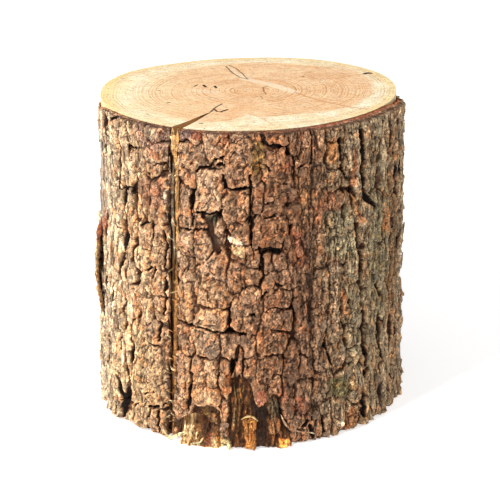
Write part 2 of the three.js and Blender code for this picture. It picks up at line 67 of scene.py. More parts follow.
HOLLOW = SimpleNamespace(angle=-88, height=232, depth=6, reach=24, rise=34)
CRACK = SimpleNamespace(
    base=-29.0, top=-26.5, tip_radius=86.0, tip_angle=-24.5,
    mouth_base=6.5, mouth_top=11.0, slot_base=8.5, slot_top=12.5, slot_reach=60.0,
)
FOOT = SimpleNamespace(start=-26.5, end=-8.0, fade=3.0, height=24.0, spread=8.0)
PARTING = SimpleNamespace(angle=78.0, reach=16.0, depth=90.0, gap=2.6)
BARK_GAP = 0.45

# How far the bark is broken off below the saw cut, and how high its lower edge sits.
RIM_DROP = [
    9, 6, 11, 8, 13, 19, 15, 8.5, 2.5, 1.5, 1, 1, 1, 1, 1, 1, 1.5, 5, 11, 17, 13, 11, 7, 12,
]
LOWER_EDGE = [
    2, 3, 1.5, 4, 2, 3, 2, 1.5, 2, 4.5, 2, 2, 2, 2, 1, 2, 1.5, 2, 1.5, 3, 2, 4, 2, 1.5,
]
EDGE_BLEND = 45.0

# How many times taller than wide the plates are, at angles round the trunk.
PLATE_SHAPE = [
    (-180, 2.8), (-120, 3.4), (-90, 4.2), (-70, 4.2), (-55, 3.4), (-45, 2.0), (-35, 1.7),
    (-22, 1.9), (-14, 1.4), (8, 1.4), (16, 2.2), (25, 2.4), (38, 2.6), (50, 2.8), (65, 4.0),
    (90, 4.2), (120, 3.2), (180, 2.8),
]
PLATE_SPACING = 23.0
PLATE_SEED = 20240

# The plates of the front: angle and height of the middle, width, tallness, and how far it stands
# above its neighbours.
FRONT_PLATES = [
    (-86, 292, 18, 46, 0), (-87, 242, 16, 48, -2), (-88, 205, 14, 30, -1),
    (-87, 170, 20, 44, 3.5), (-87, 128, 20, 46, 3.5), (-86, 84, 18, 44, 0),
    (-86, 38, 18, 46, 0), (-78, 285, 20, 50, 0), (-78, 238, 20, 42, 0), (-77, 172, 11, 44, -3),
    (-77, 130, 11, 42, -3), (-76, 92, 20, 38, 0), (-76, 46, 22, 54, 0), (-70, 293, 17, 38, 1),
    (-70, 257, 16, 38, 0), (-70, 222, 18, 28, 0), (-70, 190, 18, 39, 1), (-70, 148, 18, 44, 0),
    (-69, 100, 22, 49, 0), (-66, 42, 22, 64, 0), (-60, 270, 14, 58, -1), (-60, 205, 14, 66, -1),
    (-60, 145, 15, 52, 0), (-58, 100, 20, 46, 0), (-56, 44, 24, 66, 1), (-51, 11, 24, 18, 0),
    (-52, 299, 20, 30, 0), (-51, 265, 22, 38, 0), (-49, 222, 19, 46, 0), (-48, 187, 15, 20, 0),
    (-49, 164, 21, 26, 0), (-48, 132, 21, 36, 0), (-43, 303, 21, 25, 0), (-42, 278, 12, 22, -1),
    (-40, 244, 15, 43, 0), (-39, 206, 15, 26, 0), (-41, 180, 17, 22, 0), (-39, 155, 16, 27, 0),
    (-39, 128, 15, 24, 0), (-44, 100, 16, 27, 0), (-43, 56, 16, 54, 1), (-41, 15, 20, 26, 0),
    (-36, 306, 18, 12, 0), (-35, 290, 18, 15, 1), (-35, 272, 17, 18, 0), (-33, 244, 16, 42, 1),
    (-33, 210, 16, 23, 0), (-33, 186, 17, 20, 0), (-33, 161, 15, 26, 0), (-33, 135, 17, 22, 0),
    (-36, 109, 15, 25, 1), (-36, 72, 17, 37, 1), (-35, 41, 20, 19, 1.5), (-34, 15, 19, 28, 0),
    (-21, 311, 20, 9, 0), (-20, 293, 21, 26, 0), (-21, 271, 16, 16, 0), (-22, 240, 12, 38, 0),
    (-22, 206, 12, 24, 0), (-23, 181, 13, 25, 0), (-23, 158, 13, 18, 0), (-23, 137, 12, 22, 0),
    (-22, 106, 16, 26, 0), (-23, 66, 14, 49, 0), (-23, 38, 16, 22, 0), (-17, 204, 13, 27, -1),
    (-11, 304, 20, 25, 1), (-10, 287, 12, 9, -1.5), (-14, 260, 25, 40, 2),
    (-11, 228, 11, 22, -4), (-12, 182, 25, 21, 0), (-12, 157, 24, 25, 0), (-13, 131, 26, 22, 1),
    (-15, 107, 21, 24, 1), (-16, 76, 25, 28, 2.5), (-16, 52, 24, 21, 2.5), (-16, 31, 24, 20, -3),
    (-5, 313, 15, 9, -1), (-4, 286, 23, 43, 2), (-5, 246, 24, 29, 1), (-3, 219, 15, 22, 0),
    (-4, 200, 12, 16, 0), (-5, 177, 12, 25, -1), (-5, 138, 10, 30, -1), (-7, 108, 15, 27, -1),
    (-8, 70, 12, 38, -1), (-8, 30, 13, 34, -4), (0, 175, 17, 21, 0), (1, 197, 11, 19, -1),
    (0, 152, 19, 23, 0), (0, 129, 16, 17, -1), (-1, 108, 15, 22, 1), (-4, 90, 7, 33, -1),
    (0, 84, 15, 22, 0), (2, 277, 8, 18, -1), (3, 254, 10, 26, 0), (9, 311, 23, 14, 1),
    (10, 284, 27, 19, 3), (11, 264, 28, 25, 3), (8, 242, 20, 18, 2), (7, 219, 31, 28, 2),
    (6, 190, 10, 18, 0), (10, 188, 12, 14, 0), (7, 167, 14, 21, 0), (14, 172, 20, 16, 0),
    (10, 153, 24, 18, 0), (17, 154, 9, 19, 0), (10, 131, 23, 21, 1), (8, 109, 29, 21, 1),
    (7, 86, 22, 22, 0), (4, 60, 13, 26, 0), (9, 61, 12, 23, 0), (-2, 44, 20, 30, -6),
    (1, 20, 16, 26, -5), (7, 26, 20, 40, -7), (13, 49, 12, 42, -1), (15, 16, 17, 22, 0),
    (16, 305, 15, 22, 0), (16, 272, 10, 38, -1), (16, 231, 12, 38, 0), (17, 204, 12, 26, -1),
    (15, 89, 16, 34, 0), (19, 122, 11, 47, 0), (20, 299, 14, 32, 0), (19, 260, 13, 40, 0),
    (20, 219, 13, 37, 0), (20, 174, 12, 48, 0), (20, 84, 13, 30, 0), (20, 51, 13, 31, 0),
    (22, 19, 20, 26, 0), (25, 298, 12, 33, 0), (25, 269, 15, 20, 0), (25, 237, 15, 41, 0),
    (26, 197, 16, 34, 0), (26, 158, 15, 40, 0), (25, 118, 15, 36, 0), (26, 85, 16, 26, 0),
    (27, 56, 20, 27, 0), (28, 22, 10, 34, 0), (31, 311, 15, 13, 0), (31, 289, 15, 24, 1),
    (31, 264, 15, 22, 0), (32, 232, 18, 40, 0), (33, 196, 18, 29, 0), (32, 158, 15, 46, 0),
    (32, 116, 18, 32, 0), (33, 84, 19, 28, 0), (35, 54, 19, 28, 0), (33, 22, 17, 32, 0),
    (36, 280, 11, 45, 1), (38, 230, 12, 42, 0), (40, 182, 16, 48, 0), (36, 138, 9, 40, 1),
    (41, 124, 15, 56, 0), (40, 102, 19, 24, 0), (40, 79, 19, 21, 0), (42, 47, 16, 38, 0),
    (40, 17, 19, 27, 0), (41, 277, 13, 54, 1), (46, 298, 11, 40, 0), (49, 272, 19, 46, 0),
    (48, 215, 22, 46, 0), (49, 170, 22, 44, 0), (50, 125, 21, 42, 0), (51, 80, 22, 42, 0),
    (52, 33, 23, 48, 0), (50, 307, 14, 18, 0), (56, 309, 13, 18, 0), (58, 261, 13, 38, -1),
    (60, 213, 18, 54, 0), (59, 159, 19, 50, 0), (60, 110, 22, 42, 0), (60, 50, 22, 66, 0),
    (64, 298, 19, 42, 0), (66, 248, 18, 50, 0), (67, 200, 18, 50, 0), (67, 150, 19, 50, 0),
    (68, 100, 20, 50, 0), (68, 50, 19, 52, 0), (76, 295, 19, 42, 0), (75, 240, 21, 62, 1),
    (76, 185, 20, 52, 0), (76, 120, 20, 68, 0), (77, 60, 20, 56, 0), (84, 270, 19, 66, 0),
    (85, 205, 19, 60, 1), (84, 150, 19, 54, 0), (85, 95, 19, 56, 0), (86, 40, 19, 54, 0),
]


# Working numbers and smooth noise.


def between(low, high, share):
    return low + (high - low) * share


def eased(share):
    share = np.clip(share, 0, 1)
    return share * share * (3 - 2 * share)


def wrapped(degrees):
    return (np.asarray(degrees, float) + 180) % 360 - 180


def listed(rows, x):
    return np.interp(x, [row[0] for row in rows], [row[1] for row in rows])


def around(values, degrees):
    """A closed smooth curve through values that stand every 15 degrees from -180."""
    values = np.asarray(values, float)
    at = ((np.asarray(degrees, float) + 180) / 15) % len(values)
    i = np.floor(at).astype(int)
    t = at - i
    a, b, c, d = (values[(i + k) % len(values)] for k in (-1, 0, 1, 2))
    t2, t3 = t * t, t * t * t
    return (
        (2 * t3 - 3 * t2 + 1) * b
        + (t3 - 2 * t2 + t) * (c - a) / 2
        + (3 * t2 - 2 * t3) * c
        + (t3 - t2) * (d - b) / 2
    )


def noise_cells(x, y, wide, tall):
    """Which cell of a lattice round the trunk each point is in, and where in the cell."""
    across = max(4, round(GIRTH / wide))
    rows = int(440 / tall) + 4
    px = x / GIRTH * across
    py = (y + 50) / tall
    ix, iy = np.floor(px).astype(int), np.floor(py).astype(int)
    return across, rows, ix % across, np.clip(iy, 0, rows - 2), px - ix, py - iy


def ripple(seed, x, y, wide, tall):
    """Smooth noise, about -1 to 1, with hills of the given width and height in millimetres."""
    across, rows, ix, iy, fx, fy = noise_cells(x, y, wide, tall)
    turn = np.random.default_rng(seed).random((across, rows)) * 2 * np.pi
    slope_x, slope_y = np.cos(turn), np.sin(turn)

    def corner(i, j):
        column = (ix + i) % across
        return slope_x[column, iy + j] * (fx - i) + slope_y[column, iy + j] * (fy - j)

    sx = fx**3 * (fx * (fx * 6 - 15) + 10)
    sy = fy**3 * (fy * (fy * 6 - 15) + 10)
    low = between(corner(0, 0), corner(1, 0), sx)
    high = between(corner(0, 1), corner(1, 1), sx)
    return 1.5 * between(low, high, sy)


def grain(seed, x, y, wide, tall, steps, keep=0.5):
    """Noise on several scales, each half the size of the one before."""
    total = 0
    for i in range(steps):
        total = total + keep**i * ripple(seed + i, x, y, wide / 2**i, tall / 2**i)
    return total


def shaken(seed, x, y, reach, wide, tall):
    """Places pushed about by noise."""
    return (
        x + reach * ripple(seed, x, y, wide, tall),
        y + reach * ripple(seed + 1, x, y, wide, tall),
    )


def fibrous(seed, x, y, bends, wide, tall):
    """Upright fibres: 1 along their middles, and less between them."""
    sway = 1.5 * ripple(seed + 1, x, y, *bends)
    return 1 - 2 * np.abs(ripple(seed, x + sway, y, wide, tall))


def scales(seed, x, y, wide, tall):
    """Small scales: how near each point is to an edge, its scale's own number, and its place."""
    across, rows, ix, iy, fx, fy = noise_cells(x, y, wide, tall)
    rng = np.random.default_rng(seed)
    jitter_x, jitter_y = 0.1 + 0.8 * rng.random((2, across, rows))
    own = rng.random((across, rows))
    first = np.full(np.shape(fx), 9.0)
    second = np.full(np.shape(fx), 9.0)
    number, place_x, place_y = np.zeros((3, *np.shape(fx)))
    for i in (-1, 0, 1):
        for j in (-1, 0, 1):
            column, row = (ix + i) % across, np.clip(iy + j, 0, rows - 1)
            off_x = fx - i - jitter_x[column, row]
            off_y = fy - j - jitter_y[column, row]
            away = np.hypot(off_x, off_y)
            closer = away < first
            second = np.where(closer, first, np.minimum(second, away))
            number = np.where(closer, own[column, row], number)
            place_x = np.where(closer, off_x, place_x)
            place_y = np.where(closer, off_y, place_y)
            first = np.minimum(first, away)
    return SimpleNamespace(gap=second - first, own=number, x=place_x, y=place_y)


def flaked(cells, step, slope):
    """Each scale at its own level and tilted its own way, so that one edge stands up."""
    turn = cells.own * 33.0
    lean = np.cos(turn) * cells.x + np.sin(turn) * cells.y
    return step * ((cells.own * 7.31) % 1 - 0.5) + slope * lean


def softened(field, times):
    """The field blurred over its neighbours on the grid."""
    for _ in range(times):
        for axis in (0, 1):
            ends = [(1, 1) if k == axis else (0, 0) for k in range(field.ndim)]
            wide = np.pad(field, ends, mode="edge")
            count = field.shape[axis]
            before, after = (wide.take(range(k, count + k), axis) for k in (0, 2))
            field = 0.25 * before + 0.5 * field + 0.25 * after
    return field


def linear(code):
    """A colour written as six hexadecimal digits, in linear light."""
    parts = np.array([int(code[k : k + 2], 16) / 255 for k in (0, 2, 4)])
    return np.where(parts <= 0.04045, parts / 12.92, ((parts + 0.055) / 1.055) ** 2.4)


# The trunk's own shape.


def flare(height):
    return np.maximum(0, 1 - height / FLARE_TOP) ** FLARE_POWER


def crack_angle(height):
    return between(CRACK.base, CRACK.top, height / HEIGHT)


def foot_share(degrees):
    inside = np.minimum(degrees - FOOT.start, FOOT.end - degrees)
    return eased(inside / FOOT.fade)


def lower_edge(degrees):
    rise = np.minimum((degrees - FOOT.start - 1) / 3, (FOOT.end - 1 - degrees) / 1.6)
    return around(LOWER_EDGE, degrees) + FOOT.height * eased(rise)


def rim_height(degrees):
    return HEIGHT - around(RIM_DROP, degrees)


def wood_radius(degrees, height):
    foot = FOOT.spread * foot_share(wrapped(degrees)) * np.clip(1 - height / FOOT.height, 0, 1)
    return around(WOOD_RADII, degrees) + WOOD_FLARE * flare(height) + foot


def bark_radius(degrees, height):
    aside = (wrapped(degrees - HOLLOW.angle) / HOLLOW.reach) ** 2
    away = ((height - HOLLOW.height) / HOLLOW.rise) ** 2
    hollow = HOLLOW.depth * np.exp(-aside - away)
    return around(BARK_RADII, degrees) + BARK_FLARE * flare(height) - hollow


def parting_gap(degrees, height):
    aside = np.abs(wrapped(degrees - PARTING.angle)) / PARTING.reach
    down = (HEIGHT - height) / PARTING.depth
    return PARTING.gap * eased(1 - aside) * eased(1 - down)


def inner_radius(degrees, height):
    return wood_radius(degrees, height) + BARK_GAP + parting_gap(degrees, height)


def to_frame(degrees, radius, height):
    """Points in the shared frame, in metres."""
    a = np.radians(degrees)
    x = AXIS[0] + radius * np.sin(a)
    y = AXIS[1] - radius * np.cos(a)
    return np.stack(np.broadcast_arrays(x, y, height), axis=-1) / 1000


# Where the bark's plates lie: the front's own, then more wherever there is room.

SLOT_MIDDLE = (CRACK.slot_base + CRACK.slot_top) / 2
SLOT_HALF_ANGLE = math.degrees(SLOT_MIDDLE / 2 / MEAN_RADIUS)
MAP_FROM = (CRACK.base + CRACK.top) / 2 + SLOT_HALF_ANGLE
MAP_SPAN = 360 - 2 * SLOT_HALF_ANGLE


def plate_map():
    step = MAP_SPAN / 720
    angles = MAP_FROM + step * np.arange(721)
    arc = math.radians(step) * MEAN_RADIUS
    widths = listed(PLATE_SHAPE, wrapped(angles[1:] - step / 2)) / 2 * arc
    return angles, np.concatenate([[0], np.cumsum(widths)])


def steady_numbers(seed):
    state = seed
    while True:
        state = (state * 1664525 + 1013904223) % 4294967296
        yield state / 4294967296


def plate_sites():
    """Angle, height, width, tallness and lift of every plate, the front's first."""
    angles, reach = plate_map()
    numbers = steady_numbers(PLATE_SEED)
    rows = [(row[0] + 360 * (row[0] < MAP_FROM), *row[1:]) for row in FRONT_PLATES]
    places = [(np.interp(row[0], angles, reach), row[1] / 2) for row in rows]
    misses = 0
    while misses < 4000:
        u = next(numbers) * reach[-1]
        v = next(numbers) * HEIGHT / 2
        room = PLATE_SPACING * (0.85 + 0.4 * next(numbers))
        taken = np.array(places)
        if np.all(np.hypot(taken[:, 0] - u, taken[:, 1] - v) > room):
            lift = 2.4 * next(numbers) - 1.2
            angle = float(np.interp(u, reach, angles))
            wide = 2 * room / listed(PLATE_SHAPE, wrapped(angle)) * 1.05
            rows.append((angle, 2 * v, float(wide), 2 * room * 1.02, lift))
            places.append((u, v))
            misses = 0
        else:
            misses += 1
    return np.array(rows, float)


# Places on the bark that are listed one by one, as (angle, height, ...) in degrees and millimetres.

# Dark pockets, painted dark as the shadow under a plate's edge: half width, half tallness and depth.
POCKETS = [
    (-7.6, 219.6, 3.6, 2.4, 6), (-1.9, 264.5, 5.2, 2.4, 5), (-6.4, 84, 1.6, 8, 5),
    (53.5, 264, 2.0, 14, 5), (-9.8, 285.5, 5.0, 2.0, 6), (-10.6, 238, 3.0, 4.5, 4),
    (-17.6, 238, 3.4, 1.6, 4), (10.4, 18, 4, 5, 3), (-22.4, 16, 3.2, 6, 3),
]

# Long furrows and splits, darkened as painted shade: half width, depth and the points that each runs
# through.
FURROWS = [
    (1.6, 5, [(-52.2, 300), (-52.5, 283), (-52.3, 263)]),
    (2.4, 6, [(-49.6, 245), (-50.5, 229), (-49.1, 210), (-49.5, 184), (-52.2, 169), (-53.2, 155)]),
    (1.4, 4, [(-58.5, 139), (-59.8, 123)]),
    (1.5, 5, [(-60.5, 94), (-62.1, 71), (-61.0, 44), (-60.6, 28), (-61.2, 4)]),
    (2.2, 6, [(-45.9, 87), (-46.6, 42), (-48.0, 24)]),
    (1.5, 5, [(-66.0, 312), (-65.4, 300)]), (1.2, 4, [(-61.2, 313), (-61.5, 305)]),
    (1.8, 4, [(-58.1, 310), (-53.8, 314)]), (1.2, 4, [(-39.8, 320), (-39.4, 312)]),
    (1.4, 4, [(-39.3, 286), (-38.5, 270), (-37.2, 267)]), (1.1, 3, [(-47.7, 288), (-43.5, 289)]),
    (0.9, 3, [(-46.8, 245), (-43.6, 245)]), (1.1, 3, [(-39.6, 217), (-37.3, 221)]),
    (1.0, 3, [(-35.5, 222), (-35.7, 204)]), (1.0, 3, [(-37.7, 96), (-34.1, 96)]),
    (1.6, 5, [(-32.6, 120), (-33.2, 102)]), (1.5, 4, [(-38.0, 28), (-33.8, 30), (-31.2, 36)]),
    (1.2, 4, [(-38.1, 17), (-38.3, -2)]), (1.4, 4, [(-33.4, 26), (-33.2, 2)]),
    (0.8, 2, [(-35.0, 47), (-39.8, 40), (-40.4, 31)]), (1.0, 3, [(-42.8, 161), (-40.8, 156)]),
    (1.2, 4, [(-35.1, 176), (-35.7, 163)]), (1.0, 3, [(-38.8, 171), (-36.0, 175)]),
    (1.6, 7, [(-70.0, 190), (-70.6, 170), (-72.0, 142), (-74.5, 114), (-76.5, 87)]),
    (1.2, 5, [(-31.2, 215), (-30.4, 196), (-30.6, 160), (-31.2, 130)]),
    (1.5, 5, [(-18.3, 239), (-15.1, 238), (-12.3, 238), (-9.6, 242)]),
    (1.2, 4, [(-7.9, 264), (-4.5, 263), (-0.9, 264)]),
    (1.2, 4, [(0.1, 277), (0.4, 264), (0.1, 242), (0.8, 215)]),
    (0.9, 3, [(-19.9, 260), (-20.4, 239), (-19.4, 225)]), (0.9, 3, [(-24.6, 220), (-15.2, 221)]),
    (2.0, 3, [(-14.5, 221), (-12.8, 210), (-11.1, 200)]),
    (1.3, 3, [(-16.2, 236), (-14.8, 228), (-13.8, 220)]), (1.0, 4, [(-11.8, 290), (-8.5, 294)]),
    (1.1, 3, [(-18.1, 279), (-15.6, 283), (-12.2, 281)]), (1.1, 4, [(-9.2, 276), (-8.2, 265)]),
    (1.5, 5, [(-25.9, 125), (-17.5, 122), (-5.1, 120), (-1.6, 118)]),
    (1.8, 5, [(-20.2, 75), (-21.0, 56), (-21.5, 36)]), (1.5, 5, [(-6.1, 92), (-6.1, 80)]),
    (1.6, 5, [(3.7, 316), (4.7, 309), (6.7, 304), (10.0, 304), (12.3, 300), (13.4, 295)]),
    (1.0, 3, [(14.7, 294), (15.8, 286), (15.2, 273)]), (0.9, 3, [(4.0, 288), (5.4, 286), (6.7, 281)]),
    (0.9, 3, [(21.3, 315), (21.7, 298), (21.5, 284)]), (0.9, 3, [(16.9, 280), (19.3, 284)]),
    (1.5, 5, [(32.8, 304), (33.5, 279), (35.8, 264)]),
    (1.5, 4, [(42.1, 304), (43.5, 279), (43.7, 264), (46.1, 238), (52.1, 225)]),
    (1.4, 4, [(51.8, 274), (52.9, 253)]), (1.2, 4, [(58.6, 279), (58.6, 249)]),
    (1.4, 8, [(38.5, 252), (39.8, 227), (42.4, 212), (41.5, 200), (43.3, 184), (44.9, 175)]),
    (1.4, 8, [(44.9, 175), (43.2, 153), (44.6, 125), (45.9, 108), (46.2, 86), (47.8, 58)]),
    (1.5, 5, [(47.8, 58), (45.2, 44), (45.7, 10)]), (1.4, 5, [(58.5, 157), (60.3, 122)]),
    (1.2, 4, [(66.5, 201), (66.1, 180)]), (2.2, 5, [(2.8, 204), (6.8, 204), (10.2, 200)]),
    (1.2, 4, [(1.1, 234), (0.4, 215), (0.8, 205)]), (1.0, 3, [(4.1, 242), (1.8, 236)]),
    (0.9, 3, [(4.8, 235), (8.5, 237)]), (0.9, 3, [(5.4, 248), (6.7, 251), (10.1, 253)]),
    (1.2, 4, [(14.6, 227), (13.0, 215)]), (1.0, 3, [(11.9, 214), (11.6, 202)]),
    (1.2, 4, [(3.5, 197), (3.5, 183)]), (1.3, 4, [(27.6, 100), (30.7, 74), (31.1, 69)]),
    (0.9, 3, [(17.7, 94), (21.8, 92)]), (1.5, 4, [(26.5, 26), (26.6, 7)]),
    (1.8, 4, [(21.8, 25), (19.5, 19)]), (1.8, 4, [(21.8, 17), (22.7, 5)]),
    (0.8, 2, [(40.4, 91), (36.2, 87)]), (0.8, 2, [(29.6, 56), (28.0, 43)]),
    (0.8, 2, [(6.2, 144), (9.0, 146), (12.1, 141)]), (0.8, 2, [(7.7, 123), (12.2, 120)]),
    (0.8, 2, [(5.6, 95), (8.0, 97), (10.5, 93)]), (1.0, 3, [(8.9, 169), (11.4, 166)]),
    (1.0, 3, [(4.2, 156), (6.2, 161)]), (1.4, 4, [(0.1, 139), (2.1, 136)]),
    (1.0, 3, [(54.6, 100), (52.9, 86), (57.8, 56)]), (1.6, 5, [(71, 300), (71.5, 240), (70.5, 190)]),
    (1.3, 7, [(61.0, 275), (62.5, 250), (61.8, 215), (63.5, 180), (64.5, 120), (63.5, 70)]),
    (1.6, 4, [(11.0, 36), (11.8, 27), (14, 14)]),
]

# Faces with hardly a furrow in them: angle and height, half width and half tallness.
CALM = [(7, 246, 13, 26), (22, 215, 17, 80), (3, 292, 8, 24)]

# The bare patch at the base of the front, where the outer bark is gone.
BARE_PATCH = [
    (-6.5, 74), (-4.8, 72), (-3.4, 76), (-1.3, 71), (0.4, 66), (1.1, 58), (1.8, 49), (2.9, 43),
    (4.6, 45), (5.7, 50), (7.4, 52), (9.2, 56), (10.3, 47), (11.0, 36), (11.8, 27), (13.6, 18),
    (14.4, 1), (-7.6, 1), (-7.3, 11), (-8.4, 22), (-7.3, 37), (-7.9, 47), (-6.9, 56), (-7.2, 65),
]

# The colours of the plates round the trunk, and of the bark's cut edge at the top.
ROUND_COLOURS = [
    (-180, "937657"), (-120, "b29673"), (-90, "c6b59e"), (-60, "b3a088"), (-42, "b29474"),
    (-27, "a07d60"), (-13, "ad8c70"), (2, "8d684d"), (20, "7c5e48"), (40, "998469"),
    (75, "95836c"), (130, "82705a"), (180, "937657"),
]
RIM_COLOURS = [
    (-180, "a5683f"), (-76, "c87c48"), (-50, "9c7050"), (-22, "96664a"), (3, "966a4a"),
    (25, "b06a50"), (60, "b5704e"), (110, "9a6542"), (180, "a5683f"),
]

# Patches of another colour: angle, height, reach round and up in millimetres, colour, strength.
COLOUR_PATCHES = [
    (-70.4, 196, 9, 8, "a04a30", 0.7), (2.4, 292, 6, 16, "6a5c38", 0.5),
    (17.4, 205, 8, 18, "8c4a30", 0.35), (27.7, 238, 14, 16, "8f5638", 0.5),
    (60, 180, 30, 60, "85795c", 0.5), (-7, 180, 18, 20, "9a7050", 0.4),
    (-14, 150, 26, 24, "c49a70", 0.4), (-15, 62, 18, 22, "b48a62", 0.5),
    (-6.5, 160, 11, 110, "7e5c44", 0.45), (-45, 60, 34, 40, "c9ae84", 0.4),
    (12, 250, 14, 60, "745038", 0.45), (52, 190, 11, 110, "7f7960", 0.5),
    (66, 190, 13, 130, "86603f", 0.45), (40, 130, 9, 60, "8a836a", 0.45),
    (9, 300, 18, 14, "8c6246", 0.5), (18, 120, 16, 50, "70503c", 0.5),
]

# Areas of another colour: the colour, its strength, how far raised, how dark, and the outline.
AREAS = [
    ("a5734f", 0.8, 1, 0, [(33.8, 156), (35.6, 153), (37.2, 129), (37.7, 122), (35.4, 126),
        (33.9, 143)]),
    ("b07a4c", 0.75, 1, 0, [(27.7, 304), (31.6, 302), (31.0, 282), (28.2, 282)]),
    ("8a5a48", 0.55, 0, 0, [(14.7, 220), (17.9, 218), (18.6, 204), (15.8, 203)]),
    ("7d4f3f", 0.5, 0, 0, [(14.9, 48), (20.1, 50), (22.5, 36), (20.2, 28), (15.0, 32)]),
    ("4a3a30", 0.6, -1, 0, [
        (18.1, 237), (21.0, 236), (21.6, 201), (22.6, 150), (23.5, 123), (20.9, 114), (20.4, 150),
        (18.6, 202),
    ]),
    ("9a9276", 0.6, 0, 0, [(26.3, 234), (36.5, 233), (40.4, 216), (40.8, 185), (32.7, 183),
        (27.7, 198)]),
    ("66683e", 0.6, 0, 0, [(29.5, 62), (36.0, 62), (39.6, 41), (34.0, 39), (28.8, 49)]),
    ("a0683f", 0.7, 0, 0, [(38.7, 28), (43.9, 17), (43.0, 7), (36.6, 4), (34.3, 9)]),
    ("5b4638", 0.6, -1, 0, [(12.3, 91), (16.2, 92), (17.1, 57), (14.2, 53), (12.0, 70)]),
    ("86683f", 0.9, 0.6, 0, [(2.0, 307), (4.4, 312), (4.9, 298), (3.9, 280), (1.3, 275), (0.6, 286),
        (1.3, 296)]),
    ("8d6250", 0.6, 0, 0, [(-40.5, 261), (-30.5, 268), (-29.9, 242), (-36.3, 234), (-40.8, 236)]),
    ("b87450", 0.6, 0, 0, [(-35.5, 301), (-32.2, 302), (-32.3, 288), (-35.7, 286)]),
    ("8f7264", 0.75, 0, 0, [(-43.6, 320), (-28.1, 317), (-28.3, 296), (-40.1, 291), (-43.8, 308)]),
    ("9a8a72", 0.6, 0, 0, [(-39.9, 312), (-33.3, 313), (-33.0, 306), (-37.7, 303)]),
    ("e4dab4", 0.6, 0, 0, [(-49.8, 131), (-45.2, 135), (-45.4, 123), (-48.8, 119)]),
    ("efe4cf", 0.8, 0.6, 0, [(33.4, 14), (35.6, 12), (36.2, 8), (34.4, 8)]),
    ("e0cfa6", 0.6, 0, 0, [(-55.2, 186), (-50.6, 189), (-50.8, 180), (-54.7, 177)]),
    ("80503f", 0.5, 0, 0, [(12.4, 293), (14.8, 291), (14.8, 276), (12.4, 276)]),
    ("4f3f3a", 0.6, -1, 0, [(12.1, 270), (14.5, 268), (14.3, 241), (12.5, 241)]),
    ("7d5a3c", 0.5, 0, 0, [(16.9, 276), (21.2, 275), (21.5, 211), (17.1, 222)]),
    ("a8623a", 0.6, 0, 0, [(38.5, 291), (40.4, 292), (39.9, 255), (38.0, 256)]),
    ("a06a40", 0.6, 0, 0, [(56.2, 222), (61.0, 219), (61.0, 190), (56.8, 197)]),
    ("b8743f", 0.6, 1, 0, [(39.5, 246), (41.0, 245), (44.9, 216), (43.3, 215)]),
    ("37352f", 0.95, -2.5, 0.0, [
        (-15.8, 236), (-11.7, 236), (-11.0, 231), (-12.6, 221), (-11.5, 210), (-10.8, 200),
        (-12.6, 199), (-14.2, 213), (-15.4, 226),
    ]),
    ("7c8066", 0.6, 0, 0, [(-13.4, 235), (-12.4, 235), (-12.2, 228), (-13.2, 228)]),
    ("f0dcc0", 0.85, 1.2, 0, [(-7.6, 214), (-5.6, 217), (-2.9, 213), (-2.3, 209), (-4.6, 207),
        (-7.0, 208)]),
    ("d0b184", 0.6, 0.6, 0, [(-6.0, 206), (-2.3, 209), (-1.6, 203), (-3.3, 199), (-5.3, 200)]),
    ("8a7070", 0.7, 0, 0, [(-23.6, 317), (-20.0, 317), (-20.0, 310), (-23.3, 306)]),
    ("8f4a38", 0.75, 0, 0, [(-20.0, 318), (-16.2, 318), (-16.9, 309), (-19.7, 310)]),
    ("8f5238", 0.7, -1, 0, [(-9.1, 319), (-5.8, 320), (-6.8, 309), (-8.8, 303)]),
    ("f0e0c8", 0.5, 0.5, 0, [(-30.6, 256), (-29.7, 256), (-29.4, 244), (-30.3, 244)]),
    ("1d1b1b", 0.9, -1.4, 0.3, [(0.8, 48), (4.3, 41), (5.7, 48), (6.4, 37), (6.1, 17), (5.0, 1),
        (2.6, 1), (2.9, 18), (1.5, 34)]),
    ("5a5442", 0.7, 1.0, 0, [(6.4, 50), (9.2, 51), (10.3, 44), (10.7, 32), (7.8, 28), (6.4, 37)]),
    ("9e6b3a", 0.9, 3.0, 0, [
        (-3.1, 28), (-1.0, 32), (1.5, 31), (2.7, 25), (2.1, 17), (1.9, 7), (1.9, 1), (-1.5, 1),
        (-1.5, 11), (-2.2, 21),
    ]),
    ("9c6238", 0.8, 1.5, 0, [(-8.6, 79), (-6.5, 77), (-6.2, 67), (-7.2, 60), (-8.6, 64)]),
    ("935f48", 0.8, 3.4, 0, [(2.2, 57), (3.9, 62), (5.7, 59), (5.7, 51), (3.6, 44), (2.5, 46)]),
    ("96604a", 0.65, 1.0, 0, [(9.9, 66), (12.0, 65), (13.8, 52), (12.4, 44), (10.6, 51)]),
    ("dd9a50", 0.9, 2.6, 0, [(10.0, 9), (12.2, 8), (14.0, 9), (14.0, 1), (11.1, 1), (9.7, 3)]),
    ("8a6242", 0.8, 3.0, 0, [(7.1, 27), (9.6, 30), (11.0, 23), (11.1, 14), (7.5, 13), (6.8, 19)]),
    ("a67a4a", 0.7, 0.8, 0, [(-4.6, 60), (-3.0, 62), (-2.6, 50), (-4.4, 48)]),
    # The hollow at the foot: dark brown, partly its own colour and partly painted shade.
    ("43301f", 0.85, -7.5, 0.35, [
        (-19.2, 42), (-16.6, 40), (-14.0, 45), (-11.5, 42), (-10.1, 37), (-10.1, 23), (-12.0, 14),
        (-16.0, 10), (-19.0, 13), (-20.4, 24), (-20.4, 35),
    ]),
    ("e6cf9c", 0.9, 4.5, 0, [(-11.4, 9), (-9.4, 10), (-7.0, 9), (-6.4, 5), (-6.2, -4), (-11.4, -4)]),
    ("8f6a3a", 0.8, 1.2, 0, [(-17.4, 36), (-15.6, 37), (-15.2, 27), (-16.8, 24)]),
    ("a5855a", 0.7, 1.2, 0, [(-14.0, 30), (-13.0, 32), (-11.6, 22), (-13.2, 18)]),
]


